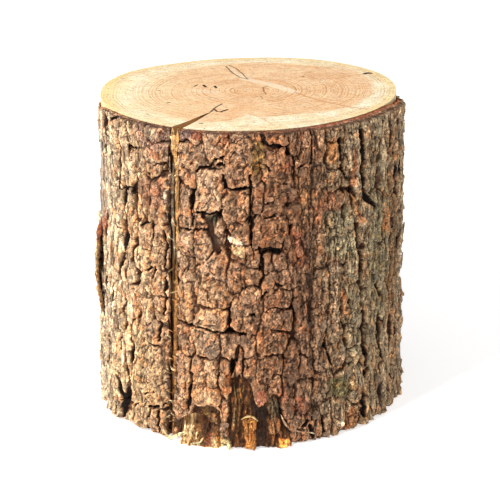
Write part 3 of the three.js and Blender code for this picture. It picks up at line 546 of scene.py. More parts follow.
def apart(degrees, height, place):
    """Millimetres round and up from a place on the bark."""
    return np.radians(wrapped(degrees - place[0])) * MEAN_RADIUS, height - place[1]


def beside(turned, points):
    """Which columns a mark could reach."""
    angles = [point[0] for point in points]
    lead = turned[:, 0]
    return np.flatnonzero((lead > min(angles) - 4) & (lead < max(angles) + 4))


def off_line(degrees, height, points):
    """How far each point of the bark is from a line through the given points."""
    best = np.full(np.shape(degrees), 1e6)
    for start, end in zip(points, points[1:]):
        x, z = apart(degrees, height, start)
        ex, ez = math.radians(end[0] - start[0]) * MEAN_RADIUS, end[1] - start[1]
        t = np.clip((x * ex + z * ez) / (ex * ex + ez * ez), 0, 1)
        best = np.minimum(best, np.hypot(x - t * ex, z - t * ez))
    return best


def within(degrees, height, outline):
    """How far inside a closed outline each point is, in millimetres, and below 0 outside."""
    closed = outline + outline[:1]
    inside = np.zeros(np.shape(degrees), bool)
    for (a0, z0), (a1, z1) in zip(closed, closed[1:]):
        if z0 == z1:
            continue
        crosses = (height < z0) != (height < z1)
        at = a0 + (height - z0) / (z1 - z0) * (a1 - a0)
        inside ^= crosses & (wrapped(degrees) < at)
    return np.where(inside, 1, -1) * off_line(degrees, height, closed)


# The bark: a fine grid of places, from one side of the slot round to the other.

ROWS = 300

# How far the relief goes in and out of the bark's even face, and the least the bark is thick.
RELIEF_IN = 9
RELIEF_OUT = 5.2
LEAST_BARK = 1.1

# How far the relief is set in at both sides and again at the left, and out at the base.
SIDE_SET_IN = 3.0
LEFT_SET_IN = 1.8
BASE_SET_OUT = 2.6

PANELS = [
    ("bark_front", -25.8, 37, 0.33), ("bark_right", 37, 100, 0.33),
    ("bark_back_right", 100, 178, 0.5), ("bark_back_left", 178, 255, 0.5),
    ("bark_left", 255, 332.3, 0.33),
]


def colours_along(rows, at):
    """The colour at each place along a list of (angle, colour)."""
    codes = np.array([linear(code) for _, code in rows])
    stops = [row[0] for row in rows]
    return np.stack([np.interp(at, stops, codes[:, k]) for k in range(3)], axis=-1)


def bark_columns():
    """The columns' angles round the trunk, and where each panel starts and ends among them."""
    angles, spans = [], []
    for name, start, end, step in PANELS:
        start = max(start, MAP_FROM)
        end = min(end, MAP_FROM + MAP_SPAN)
        count = round((end - start) / step)
        first = len(angles)
        angles += [start + (end - start) * i / count for i in range(count)]
        spans.append((name, first, first + count))
    angles.append(MAP_FROM + MAP_SPAN)
    return np.array(angles), spans


def edge_heights(turned, arc):
    """How high the bark's broken rim and its ragged lower edge are."""
    level = 0 * arc
    broken = np.clip(around(RIM_DROP, turned) / 5, 0.3, 1.6)
    high = rim_height(turned) + broken * (
        0.9 * ripple(71, arc, level, 14, 9) + 0.6 * ripple(72, arc, level, 4, 9)
    )
    low = lower_edge(turned) + 0.8 * ripple(73, arc, level, 9, 9)
    low = low - 1.6 * eased(1 - np.abs(turned - 3) / 14)
    torn = 7 * ripple(77, arc, level, 17, 9) + 4 * ripple(78, arc, level, 6, 9)
    low = low + foot_share(turned) * torn
    return high, np.maximum(low + 0.4 * ripple(74, arc, level, 3, 9), 0.2)


def beside_slot(angle, up):
    """How far round each place is moved, so that the slot leans, widens and has ragged sides."""
    from_start = np.radians(angle - MAP_FROM) * MEAN_RADIUS
    from_end = np.radians(MAP_FROM + MAP_SPAN - angle) * MEAN_RADIUS
    near = np.clip(1 - np.minimum(from_start, from_end) / CRACK.slot_reach, 0, 1)
    slot = between(CRACK.slot_base, CRACK.slot_top, eased(up / HEIGHT))
    wider = np.degrees((slot - SLOT_MIDDLE) / 2 / MEAN_RADIUS)
    side = np.where(from_start < from_end, 1, -1)
    ragged = 1.5 * ripple(75, 50.0 * side, up, 30, 13)
    ragged = ragged + 1.0 * ripple(76, 50.0 * side, up, 30, 4.5) - 1.1 * side
    lean = crack_angle(up) - (CRACK.base + CRACK.top) / 2
    lean = lean + np.degrees(ragged / MEAN_RADIUS) * near**6
    return near * (lean + side * wider)


def bark_places(columns):
    """The angle and height of every place on the bark's outer face."""
    angle = np.repeat(columns[:, None], ROWS + 1, axis=1)
    raw = np.linspace(0, HEIGHT, ROWS + 1)[None, :] + 0 * angle
    high, low = edge_heights(wrapped(angle), np.radians(angle) * MEAN_RADIUS)
    start = HEIGHT - EDGE_BLEND
    up = np.where(raw < EDGE_BLEND, between(low, EDGE_BLEND, raw / EDGE_BLEND), raw)
    up = np.where(raw > start, between(start, high, (raw - start) / EDGE_BLEND), up)
    return angle + beside_slot(angle, up), up


def lay_plates(columns, arc, up, sites):
    """The nearest plate to every place, where in it the place is, and how far from its edge."""
    shape = arc.shape
    far = 1e3
    s1, s2 = np.full(shape, far), np.full(shape, far)
    g1, g2 = np.ones(shape), np.ones(shape)
    who = np.zeros(shape, int)
    in_x, in_z, upright = np.zeros(shape), np.zeros(shape), np.zeros(shape)
    power = 3.0
    for i, (angle, height, wide, tall, _) in enumerate(sites):
        a, b = wide / 2 * 1.06, tall / 2 * 1.06
        reach = math.degrees((wide * 1.3 + 14) / MEAN_RADIUS)
        c0, c1 = np.searchsorted(columns, [angle - reach, angle + reach])
        r0 = max(0, int((height - tall * 1.1 - 16) / HEIGHT * ROWS))
        r1 = min(ROWS + 1, int((height + tall * 1.1 + 16) / HEIGHT * ROWS) + 1)
        part = (slice(c0, c1), slice(r0, r1))
        x = (arc[part] - math.radians(angle) * MEAN_RADIUS) / a
        z = (up[part] - height) / b
        ax, az = np.abs(x) + 1e-6, np.abs(z) + 1e-6
        s = (ax**power + az**power) ** (1 / power)
        gx, gz = (ax / s) ** (power - 1) / a, (az / s) ** (power - 1) / b
        g = np.hypot(gx, gz)
        closer = s < s1[part]
        second = ~closer & (s < s2[part])
        s2[part] = np.where(closer, s1[part], np.where(second, s, s2[part]))
        g2[part] = np.where(closer, g1[part], np.where(second, g, g2[part]))
        s1[part] = np.where(closer, s, s1[part])
        g1[part] = np.where(closer, g, g1[part])
        who[part] = np.where(closer, i, who[part])
        in_x[part] = np.where(closer, x, in_x[part])
        in_z[part] = np.where(closer, z, in_z[part])
        upright[part] = np.where(closer, gx / (gx + gz), upright[part])
    return SimpleNamespace(
        who=who, x=np.clip(in_x, -1.3, 1.3), z=np.clip(in_z, -1.3, 1.3), s=np.minimum(s1, 3),
        upright=upright, edge=(s2 - s1) / (g1 + g2), beyond=(s1 - 1.05) / g1,
    )


def warped(arc, up):
    """Places pushed about a little, so that the plates' outlines are ragged."""
    sway = 2.4 * ripple(11, arc, up, 21, 27) + 1.5 * ripple(12, arc, up, 8, 11)
    sway = sway + 0.9 * ripple(13, arc, up, 3.8, 5.5)
    rise = 3.0 * ripple(21, arc, up, 19, 23) + 2.2 * ripple(22, arc, up, 7, 8)
    rise = rise + 1.1 * ripple(23, arc, up, 3.4, 4)
    return arc + sway, up + rise


def part_plates(bark, plate):
    """How open the furrows between the plates are, and where the plates stand between them."""
    arc, up = bark.arc, bark.up
    openness = 0.36 + 0.75 * grain(31, arc, up, 26, 40, 2) + 0.2 * (plate.upright - 0.5)
    openness = openness + bark.sideways * (0.2 - 0.75 * eased(1.6 - 3 * plate.upright))
    for place in CALM:
        x, z = apart(bark.turned, up, place)
        openness = openness - 0.5 * eased(1.7 - np.hypot(x / place[2], z / place[3]))
    openness = eased(openness - 0.06)
    wall = 1.0 + 0.4 * ripple(33, arc, up, 9, 9)
    return openness, eased((plate.edge - between(0.1, 1.15, openness)) / wall)


def split_sides(bark):
    """The upright ridges of the sides, and the long checks that part them into strips."""
    arc, up, sway = bark.arc, bark.up, bark.sway
    ridges = 1 - 2 * np.abs(ripple(59, sway, up, 6, 50))
    ridges = ridges + 1.6 - 3.2 * np.abs(ripple(62, sway, up, 15, 110))
    bend = sway + 1.2 * ripple(65, arc, up, 6, 9)
    check = eased(1.3 - np.abs(ripple(63, bend, up, 17, 150)) / 0.11)
    return ridges, bark.sideways * check * eased(0.5 + 1.2 * ripple(64, arc, up, 22, 50))


def shape_plates(bark, plate, sites):
    """The plates' faces, tilted, bowed and scaled off in layers, and the furrows' floors, with painted
    shade in the furrows, splits and checks.
    """
    arc, up, u, v, sideways = bark.arc, bark.up, bark.u, bark.v, bark.sideways
    draws = np.random.default_rng(7).uniform(-1, 1, (4, len(sites)))
    tilt_x, tilt_z, bark.own, bark.older = draws[:, plate.who]
    step = 2.6 * (grain(41, u, v, 9, 9, 3) + 0.35 * np.minimum(plate.s, 1.3) ** 2 + 0.5 * bark.own)
    bark.layer = np.floor(step)
    layer = bark.layer + eased((step - bark.layer - 0.8) / 0.2)
    tilt = 0.9 * tilt_x * plate.x + 1.1 * tilt_z * plate.z
    bark.large = large = scales(51, *shaken(53, u, v, 1.5, 4.6, 4.6), 6.4, 6.4)
    bark.small = small = scales(52, *shaken(55, u, v, 0.9, 2.1, 2.1), 2.9, 2.9)
    split = eased(1 - large.gap / 0.11) * eased(0.5 + 1.5 * ripple(57, arc, up, 20, 26))
    nick = eased(1 - small.gap / 0.13) * eased(0.3 + 1.5 * ripple(58, arc, up, 11, 14))
    ridges, check = split_sides(bark)
    beyond = eased(plate.beyond / 3.5)
    face = (
        sites[plate.who, 4] + 0.9 * bark.older + tilt - np.clip(plate.s, 0, 1.2) ** 3
        - 0.6 * layer + flaked(large, 1.7, 1.8) * (1 - 0.35 * sideways)
        + flaked(small, 0.8, 1.0) * (1 - 0.75 * sideways)
        - 0.8 * split - 0.3 * nick + sideways * (1.2 * ridges - 0.7) - 3.2 * check
        + 0.5 * grain(61, arc, up, 5, 6, 3) * (1 - 0.4 * sideways) + 0.6 - 1.6 * beyond
    )
    openness, raised = part_plates(bark, plate)
    floor = face - between(0.7, 4.4, openness) + 0.5 * bark.fibres
    # Painted shade: the furrows' floors, the ground beyond the plates, splits, nicks and checks are
    # darkened.
    dark = (1 - raised) * between(0.3, 1.0, openness)
    for other in (0.2 * beyond, 0.5 * split, 0.3 * nick * (1 - sideways), 1.3 * check):
        dark = np.maximum(dark, other)
    return between(floor, face, raised), dark


def cut_pockets(degrees, heights, level, dark):
    for place in POCKETS:
        x, z = apart(degrees, heights, place)
        # Flat along the top and drawn out below, as under a plate's edge.
        z = np.where(z > 0, 1.7 * z, z)
        share = eased(1.9 - 1.2 * np.hypot(x / place[2], z / place[3]))
        level = level - share * place[4] * 0.8
        # Painted shadow: the pocket is darkened as the shade under an overhanging plate.
        dark = np.maximum(dark, 1.25 * share)
    return level, dark


def cut_furrows(bark, degrees, heights, level, dark):
    patches = ripple(83, bark.arc, bark.up, 16, 24)
    for width, deep, points in FURROWS:
        near = beside(bark.turned, points)
        # Towards the sides a furrow is seen aslant, so it is made wider there.
        first = points[0][0]
        width = width * (1.8 if first > 36 else 1.3 if first < -40 else 1)
        share = np.zeros_like(level)
        uneven = width * (1 + 0.4 * patches[near])
        share[near] = eased(1.5 - off_line(degrees[near], heights[near], points) / uneven)
        share = share * eased(1.5 + 0.8 * patches)
        level = level - share * deep * 0.8
        # Painted shade: the furrow's floor is darkened as the shade in it.
        dark = np.maximum(dark, 1.35 * share)
    return level, dark


def bare_foot(bark, degrees, heights, level, dark):
    """The patch at the front's base where only torn inner bark is left."""
    arc, up = bark.arc, bark.up
    bark.bare = eased(0.5 + within(degrees, heights, BARE_PATCH) / 1.6)
    strips = fibrous(93, arc, up, (12, 18), 4.2, 26)
    wear_and_highlight = 7 * eased(1 - up / 24) - 6.4 + 1.6 * grain(91, arc, up, 6, 16, 3)
    wear_and_highlight = wear_and_highlight + 1.5 * strips + flaked(bark.small, 0.8, 0.8)
    shade = 0.2 + 0.3 * ripple(92, arc, up, 8, 10) - 0.25 * strips
    return between(level, wear_and_highlight, bark.bare), between(dark, shade, bark.bare)


def lift_areas(bark, degrees, heights, level, dark):
    for _, _, lift, shade, outline in AREAS:
        near = beside(bark.turned, outline)
        share = np.zeros_like(level)
        share[near] = eased(0.5 + within(degrees[near], heights[near], outline) / 1.8)
        level = level + lift * share
        dark = between(dark, shade + 0.35 * dark, share)
    return level, dark


def make_relief(columns, angle, up):
    """How far out every place of the bark is, how dark (painted shade in furrows, splits and pockets,
    and the bare patch's own tone), and what it is part of.
    """
    turned, arc = wrapped(angle), np.radians(angle) * MEAN_RADIUS
    bark = SimpleNamespace(
        angle=angle, up=up, turned=turned, arc=arc, sway=arc + 3 * ripple(60, arc, up, 18, 40),
        sideways=eased((np.abs(turned - 6) - 34) / 22),
        fibres=fibrous(36, arc, up, (20, 30), 3.2, 24),
    )
    # Along the flat map the plates are as wide as tall, and so are their scales.
    bark.u, bark.v = np.interp(angle, *plate_map()), up / 2
    sites = plate_sites()
    plate = lay_plates(columns, *warped(arc, up), sites)
    level, dark = shape_plates(bark, plate, sites)
    wavy = arc + 1.5 * ripple(81, arc, up, 6, 8) + 0.8 * ripple(84, arc, up, 3, 3)
    heights = up + 1.5 * ripple(82, arc, up, 6, 6) + 0.8 * ripple(85, arc, up, 3, 3)
    degrees = np.degrees(wavy / MEAN_RADIUS)
    level, dark = cut_pockets(degrees, heights, level, dark)
    for change in (cut_furrows, bare_foot, lift_areas):
        level, dark = change(bark, degrees, heights, level, dark)
    level = level - SIDE_SET_IN * eased((np.abs(turned) - 50) / 20)
    level = level - LEFT_SET_IN * eased((-55 - turned) / 15)
    radius = bark_radius(turned, up) + np.clip(level, -RELIEF_IN, RELIEF_OUT)
    radius = radius + BASE_SET_OUT * eased(1 - up / 24)
    least = inner_radius(turned, up) + LEAST_BARK + 0.3 * bark.fibres
    bark.radius = np.maximum(radius, least)
    bark.dark = np.clip(dark, 0, 1.25)
    return bark


def shade_of_plates(bark):
    """How much lighter or darker each place is than the bark round it, as a power of e."""
    arc, up, sideways = bark.arc, bark.up, bark.sideways
    return (
        0.08 * bark.own + 0.2 * grain(104, arc, up, 12, 15, 3)
        + 0.16 * grain(105, bark.u, bark.v, 2.6, 2.6, 2)
        + 0.3 * (bark.large.own - 0.5) * (1 - 0.4 * sideways)
        + 0.3 * (bark.small.own - 0.5) * (1 - 0.5 * sideways)
        + 0.12 * ((bark.layer * 0.37) % 1 - 0.5) + 0.45 * sideways * ripple(114, arc, up, 7, 15)
        + 0.55 * sideways * ripple(112, bark.sway, up, 2.6, 34)
        + 0.1 * ripple(113, arc, up, 34, 60)
    )


def colour_of_plates(bark):
    """The bark's colour at every place, before its furrows are darkened."""
    arc, up = bark.arc, bark.up
    tone = colours_along(ROUND_COLOURS, bark.turned + 5 * ripple(101, arc, up, 40, 60))
    px, pz = shaken(102, arc, up, 5, 16, 18)
    degrees = np.degrees(px / MEAN_RADIUS)
    for *place, code, strength in COLOUR_PATCHES:
        x, z = apart(degrees, pz, place)
        share = strength * eased(1.6 - np.hypot(x / place[2], z / place[3]))
        tone = between(tone, linear(code), share[..., None])
    grey = eased(0.25 + 0.3 * bark.older + 0.6 * grain(106, arc, up, 16, 20, 2)) * 0.2
    plain = (tone @ np.array([0.3, 0.55, 0.15]))[..., None] * np.array([1.02, 0.98, 0.9])
    tone = between(tone, plain, grey[..., None])
    red = eased(-0.15 + 0.8 * grain(107, arc, up, 15, 20, 3) + 0.5 * (bark.large.own - 0.5)) * 0.5
    tone = between(tone, tone * np.array([1.16, 0.82, 0.58]), red[..., None])
    streak = eased(0.35 + 0.9 * grain(108, arc, up, 4, 16, 3))[..., None]
    inner = between(linear("3a2515"), linear("7a5230"), streak)
    tone = between(tone, inner, bark.bare[..., None])
    px, pz = shaken(109, arc, up, 1.2, 6, 7)
    degrees = np.degrees(px / MEAN_RADIUS)
    for code, strength, _, _, outline in AREAS:
        near = beside(bark.turned, outline)
        share = eased(0.6 + within(degrees[near], pz[near], outline) / 2.2) * strength
        tone[near] = between(tone[near], linear(code), share[..., None])
    return tone * np.exp(shade_of_plates(bark))[..., None]


def grow_bark():
    columns, spans = bark_columns()
    angle, up = bark_places(columns)
    bark = make_relief(columns, angle, up)
    bark.tone = colour_of_plates(bark)
    # The crest: high on ridges, low in hollows; the material paints highlights on the one and shade in
    # the other.
    fine = bark.radius - softened(bark.radius, 2)
    middling = bark.radius - softened(bark.radius, 10)
    broad = bark.radius - softened(bark.radius, 60)
    bark.crest = np.clip(1.3 * fine + 0.4 * middling + 0.12 * broad, -1, 1)
    bark.spans = spans
    return bark


# Each panel of bark is one closed strip: outer face, broken top, inner face, lower edge.

RIM_STEPS = 4
INNER_LEVELS = [60.0, 130.0, 200.0]


def edge_steps(bark, top, rng):
    """The steps in from the outer face's edge, at the top or the base, and the inner edge."""
    end = -1 if top else 0
    side, outer_r, outer_z = bark.angle[:, end], bark.radius[:, end], bark.up[:, end]
    if top:
        inner_z = np.minimum(outer_z + 1.2 + 1.4 * rng.random(len(side)), HEIGHT - 0.6)
    else:
        inner_z = np.maximum(outer_z - 0.8, 0.1)
    inner_r = inner_radius(wrapped(side), inner_z)
    steps = []
    for k in range(1, RIM_STEPS + 1):
        t = k / (RIM_STEPS + 1)
        rough = 0.35 * rng.standard_normal(len(side))
        z = np.minimum(between(outer_z, inner_z, eased(t)) + rough, HEIGHT - 0.3)
        steps.append(np.stack([side, between(outer_r, inner_r, t), np.maximum(z, 0.05)], -1))
    return steps, np.stack([side, inner_r, inner_z], -1)


def section_loop(bark):
    """Every column's closed section, where its cut rim is, and where either of its edges is."""
    rng = np.random.default_rng(17)
    top_steps, top_inner = edge_steps(bark, True, rng)
    low_steps, low_inner = edge_steps(bark, False, rng)
    inner = [top_inner]
    for level in reversed(INNER_LEVELS):
        row = np.argmin(np.abs(bark.up - level), axis=1)
        side = bark.angle[np.arange(len(row)), row]
        z = np.full(len(row), level)
        inner.append(np.stack([side, inner_radius(wrapped(side), z), z], -1))
    loop = [*top_steps, *inner, low_inner, *reversed(low_steps)]
    face = np.stack([bark.angle, bark.radius, bark.up], axis=-1)
    places = np.concatenate([face, np.stack(loop, axis=1)], axis=1)
    outer = ROWS + 1
    rim = np.zeros(places.shape[:2])
    rim[:, outer : outer + RIM_STEPS + 1] = [0, 0.15, 0.6, 1, 1]
    edge = eased(rim * 3)
    edge[:, -RIM_STEPS:] = 1
    return places, rim, edge


def grid_normals(points):
    """Outward directions on a grid that is closed along its second axis."""
    across = np.gradient(points, axis=0)
    along = (np.roll(points, -1, axis=1) - np.roll(points, 1, axis=1)) / 2
    normal = np.cross(across, along)
    return normal / np.maximum(np.linalg.norm(normal, axis=-1, keepdims=True), 1e-12)


def new_piece(name, points, faces, material):
    mesh = bpy.data.meshes.new(name)
    mesh.from_pydata(points.reshape(-1, 3).tolist(), [], faces)
    mesh.polygons.foreach_set("use_smooth", [True] * len(mesh.polygons))
    mesh.materials.append(material)
    piece = bpy.data.objects.new(name, mesh)
    bpy.context.scene.collection.objects.link(piece)
    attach(piece, "root")
    return piece


def note_values(piece, name, values):
    layer = piece.data.attributes.new(name, "FLOAT", "POINT")
    layer.data.foreach_set("value", np.asarray(values, np.float32).ravel())


def note_colours(piece, name, colours):
    layer = piece.data.attributes.new(name, "FLOAT_COLOR", "POINT")
    flat = np.asarray(colours, np.float32).reshape(-1, 3)
    layer.data.foreach_set("color", np.c_[flat, np.ones(len(flat))].astype(np.float32).ravel())


def zipped(near, far):
    """Triangles between two lines of (index, how far along)."""
    faces, i, j = [], 0, 0
    while i + 1 < len(near) or j + 1 < len(far):
        next_near = near[i + 1][1] if i + 1 < len(near) else math.inf
        next_far = far[j + 1][1] if j + 1 < len(far) else math.inf
        if next_near <= next_far:
            faces.append((near[i][0], near[i + 1][0], far[j][0]))
            i += 1
        else:
            faces.append((near[i][0], far[j + 1][0], far[j][0]))
            j += 1
    return faces


def panel_end(places, base, heights, flip):
    """Closes a panel's side, from its outer face to its inner one."""
    length = places.shape[0]
    outer = ROWS + 1
    lower = [(base + k, -1 + (k - length) * 1e-3) for k in range(length - RIM_STEPS, length)]
    face = [(base + k, heights[k]) for k in range(outer)]
    upper = [(base + outer + k, heights[outer - 1] + (k + 1) * 1e-3) for k in range(RIM_STEPS)]
    first = outer + RIM_STEPS
    inner = [(base + k, heights[k]) for k in range(first, length - RIM_STEPS)][::-1]
    faces = zipped(lower + face + upper, inner)
    return [face[::-1] for face in faces] if flip else faces


def panel_piece(name, places, points, normals, masks, span, material):
    first, last = span
    part = slice(first, last + 1)
    length = places.shape[1]
    count = last - first
    c, k = np.meshgrid(np.arange(count), np.arange(length), indexing="ij")
    ahead = (k + 1) % length
    quads = np.stack(
        [c * length + k, (c + 1) * length + k, (c + 1) * length + ahead, c * length + ahead], -1
    ).reshape(-1, 4)
    ends = panel_end(places[first], 0, places[first, :, 2], False)
    ends += panel_end(places[last], count * length, places[last, :, 2], True)
    faces = quads.tolist() + [list(face) for face in ends]
    piece = new_piece(name, points[part], faces, material)
    mesh = piece.data
    mesh.normals_split_custom_set_from_vertices(normals[part].reshape(-1, 3).tolist())
    for title, values in masks.items():
        note = note_colours if values.ndim == 3 else note_values
        note(piece, title, values[part])
    lay_out(mesh, c, k, count, length, places[part, :, 2])
    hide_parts("bark")


def lay_out(mesh, c, k, count, length, heights):
    """Unrolls the panel onto its map, and its two ends beside it."""
    layer = mesh.uv_layers.new(name="OFBake")
    u = np.stack([c, c + 1, c + 1, c], -1).reshape(-1, 4) / count * 0.955 + 0.005
    v = np.stack([k, k, k + 1, k + 1], -1).reshape(-1, 4) / length * 0.99 + 0.005
    flat = np.stack([u.ravel(), v.ravel()], -1)
    total = len(mesh.loops)
    loops = np.zeros(total, np.int32)
    mesh.loops.foreach_get("vertex_index", loops)
    rest = loops[len(flat) :]
    column, row = rest // length, rest % length
    outer = row < ROWS + 1
    height = heights.reshape(-1)[rest] / HEIGHT * 0.99 + 0.005
    edge = np.where(column == 0, 0.968, 0.985)
    ends = np.stack([edge + np.where(outer, 0.0, 0.01), height], -1)
    layer.data.foreach_set("uv", np.concatenate([flat, ends]).astype(np.float32).ravel())


# Materials.


def shader(name):
    material = bpy.data.materials.new(name)
    material.use_nodes = True
    tree = material.node_tree
    surface = next(n for n in tree.nodes if n.type == "BSDF_PRINCIPLED")
    return material, tree, surface


def add(tree, kind, **settings):
    node = tree.nodes.new(kind)
    for key, value in settings.items():
        setattr(node, key, value)
    return node


class Wire:
    """What one node of a shader puts out, worked with like a number."""

    def __init__(self, tree, output):
        self.tree = tree
        self.output = output

    def __add__(self, other):
        return maths("ADD", self, other)

    def __sub__(self, other):
        return maths("SUBTRACT", self, other)

    def __mul__(self, other):
        return maths("MULTIPLY", self, other)

    def __truediv__(self, other):
        return maths("DIVIDE", self, other)


def plug(value, socket):
    """Gives a socket a number, a vector, a colour or a wire."""
    if isinstance(value, Wire):
        value.tree.links.new(value.output, socket)
    elif isinstance(value, (int, float)):
        socket.default_value = value
    else:
        socket.default_value = (*[float(v) for v in value], 1.0)[: len(socket.default_value)]


def tree_of(values):
    return next(value.tree for value in values if isinstance(value, Wire))


def maths(operation, *values):
    node = add(tree_of(values), "ShaderNodeMath", operation=operation)
    for value, socket in zip(values, node.inputs):
        plug(value, socket)
    return Wire(tree_of(values), node.outputs[0])


def vectors(operation, *values, output="Vector"):
    node = add(tree_of(values), "ShaderNodeVectorMath", operation=operation)
    for value, socket in zip(values, node.inputs):
        plug(value, socket)
    return Wire(tree_of(values), node.outputs[output])


def swing(value):
    """Turns a value round 0 into a factor round 1."""
    return maths("POWER", 2.7, value)


def read(tree, name, output="Fac"):
    return Wire(tree, add(tree, "ShaderNodeAttribute", attribute_name=name).outputs[output])


def object_place(tree):
    return Wire(tree, add(tree, "ShaderNodeTexCoord").outputs["Object"])


def blend(share, low, high, kind="MIX"):
    values = share, low, high
    node = add(tree_of(values), "ShaderNodeMix", data_type="RGBA", blend_type=kind)
    for value, k in zip(values, (0, 6, 7)):
        plug(value, node.inputs[k])
    return Wire(tree_of(values), node.outputs[2])


def tinted(colour, share, tint):
    """A colour, multiplied by a tint as far as the share says."""
    return blend(share, colour, blend(1.0, colour, tint, "MULTIPLY"))


def ramp(value, low, high, start=0.0, end=1.0):
    """Turns a value between low and high into start to end, and holds it outside them."""
    node = add(value.tree, "ShaderNodeMapRange", interpolation_type="SMOOTHSTEP")
    for given, socket in zip((value, low, high, start, end), node.inputs):
        plug(given, socket)
    return Wire(value.tree, node.outputs[0])


def noise(place, scale, detail, rough=0.5, output="Fac"):
    node = add(place.tree, "ShaderNodeTexNoise")
    settings = {"Vector": place, "Scale": scale, "Detail": detail, "Roughness": rough}
    for name, value in settings.items():
        plug(value, node.inputs[name])
    return Wire(place.tree, node.outputs[output])


def patchy(place, size, stretch=(1, 1, 1), detail=2.0, rough=0.55):
    """Noise with spots of the given size in millimetres."""
    mapping = add(place.tree, "ShaderNodeMapping")
    plug(place, mapping.inputs["Vector"])
    plug(stretch, mapping.inputs["Scale"])
    return noise(Wire(place.tree, mapping.outputs[0]), 1000 / size, detail, rough)


def group_sockets(group, wanted):
    for name, way, kind, value in wanted:
        socket = group.interface.new_socket(name=name, in_out=way, socket_type=kind)
        if value is not None:
            socket.default_value = value


def cells(place, size):
    """Broken cells of the given size: numbers, a lean and a distance to the edge for each."""
    tree = place.tree
    first, edges = (
        add(tree, "ShaderNodeTexVoronoi", feature=kind) for kind in ("F1", "DISTANCE_TO_EDGE")
    )
    for node in (first, edges):
        plug(place, node.inputs["Vector"])
        plug(1000 / size, node.inputs["Scale"])
    colour = Wire(tree, first.outputs["Color"])
    numbers = add(tree, "ShaderNodeSeparateColor")
    plug(colour, numbers.inputs[0])
    away = vectors("SUBTRACT", place, Wire(tree, first.outputs["Position"]))
    turn = vectors("SUBTRACT", colour, (0.5, 0.5, 0.5))
    lean = vectors("DOT_PRODUCT", away, turn, output="Value") * (2.4 * 1000 / size)
    parts = [Wire(tree, part) for part in numbers.outputs]
    return parts, lean, Wire(tree, edges.outputs["Distance"])


def end_group(group, values):
    end = add(group, "NodeGroupOutput")
    for name, value in values.items():
        plug(value, end.inputs[name])
    return group


def make_flaking():
    """Small flakes lying over one another: their tone with painted light and shade across each, pale
    and warm ones, thin gaps and a height.
    """
    group = bpy.data.node_groups.new("small_flakes", "ShaderNodeTree")
    group_sockets(group, [
        (name, "OUTPUT", "NodeSocketFloat", None)
        for name in ("Shade", "Pale", "Warm", "Gap", "Height")
    ])
    place = object_place(group)
    push = vectors("MULTIPLY", noise(place, 1000 / 5, 3.0, output="Color"), (0.007, 0.007, 0.007))
    bent = vectors("MULTIPLY", vectors("ADD", push, place), (1, 1, 0.7))
    large, lean, gap = cells(bent, 4.6)
    small, lean_small, gap_small = cells(bent, 2.1)
    some = ramp(noise(place, 1000 / 5, 3.0), 0.42, 0.58)
    gaps = maths("MAXIMUM", ramp(gap, 0.09, 0.02) * some, ramp(gap_small, 0.1, 0.02) * 0.4)
    height = large[0] * 0.7 + lean * 0.6 + small[1] * 0.35 + lean_small * 0.3
    return end_group(group, {
        # Shade: each flake's own tone, with painted light and shade across it by its lean, one side
        # lighter.
        "Shade": large[0] * 0.5 + small[0] * 0.5 + lean * 0.16 + lean_small * 0.16,
        "Pale": ramp(small[1], 0.84, 0.9),
        "Warm": ramp(large[2], 0.72, 0.85),
        "Gap": gaps,
        "Height": height - gaps * 0.5,
    })


def make_weathering():
    """Fine grain for bark and old wood: mottles a colour and gives a height for bumps."""
    group = bpy.data.node_groups.new("weathered_grain", "ShaderNodeTree")
    group_sockets(group, [
        ("Colour", "INPUT", "NodeSocketColor", (0.5, 0.4, 0.3, 1)),
        ("Mottling", "INPUT", "NodeSocketFloat", 0.5),
        ("Upright", "INPUT", "NodeSocketFloat", 0.4),
        ("Colour", "OUTPUT", "NodeSocketColor", None),
        ("Grain", "OUTPUT", "NodeSocketFloat", None),
    ])
    start = add(group, "NodeGroupInput")
    colour, mottling, upright = (
        Wire(group, start.outputs[name]) for name in ("Colour", "Mottling", "Upright")
    )
    stretch = add(group, "ShaderNodeCombineXYZ")
    for value, socket in zip((1, 1, upright), stretch.inputs):
        plug(value, socket)
    place = vectors("MULTIPLY", object_place(group), Wire(group, stretch.outputs[0]))
    grain = patchy(place, 1.3, detail=2.0) * 0.55 + patchy(place, 3.2, detail=3.0) * 0.6
    factor = swing((grain - 0.575) * 3.4 * mottling)
    return end_group(group, {"Colour": scaled(colour, factor), "Grain": grain})


def place_group(tree, group, **values):
    """A group in a shader's tree, with its outputs by name."""
    node = add(tree, "ShaderNodeGroup", node_tree=group)
    for name, value in values.items():
        plug(value, node.inputs[name])
    return {output.name: Wire(tree, output) for output in node.outputs}


def bumps(height, distance, strength):
    node = add(height.tree, "ShaderNodeBump")
    settings = {"Height": height, "Distance": distance / 1000, "Strength": strength}
    for name, value in settings.items():
        plug(value, node.inputs[name])
    return Wire(height.tree, node.outputs["Normal"])


def scaled(colour, factor):
    """A colour times a grey number."""
    grey = add(factor.tree, "ShaderNodeCombineXYZ")
    for socket in grey.inputs:
        plug(factor, socket)
    return blend(1.0, colour, Wire(factor.tree, grey.outputs[0]), "MULTIPLY")


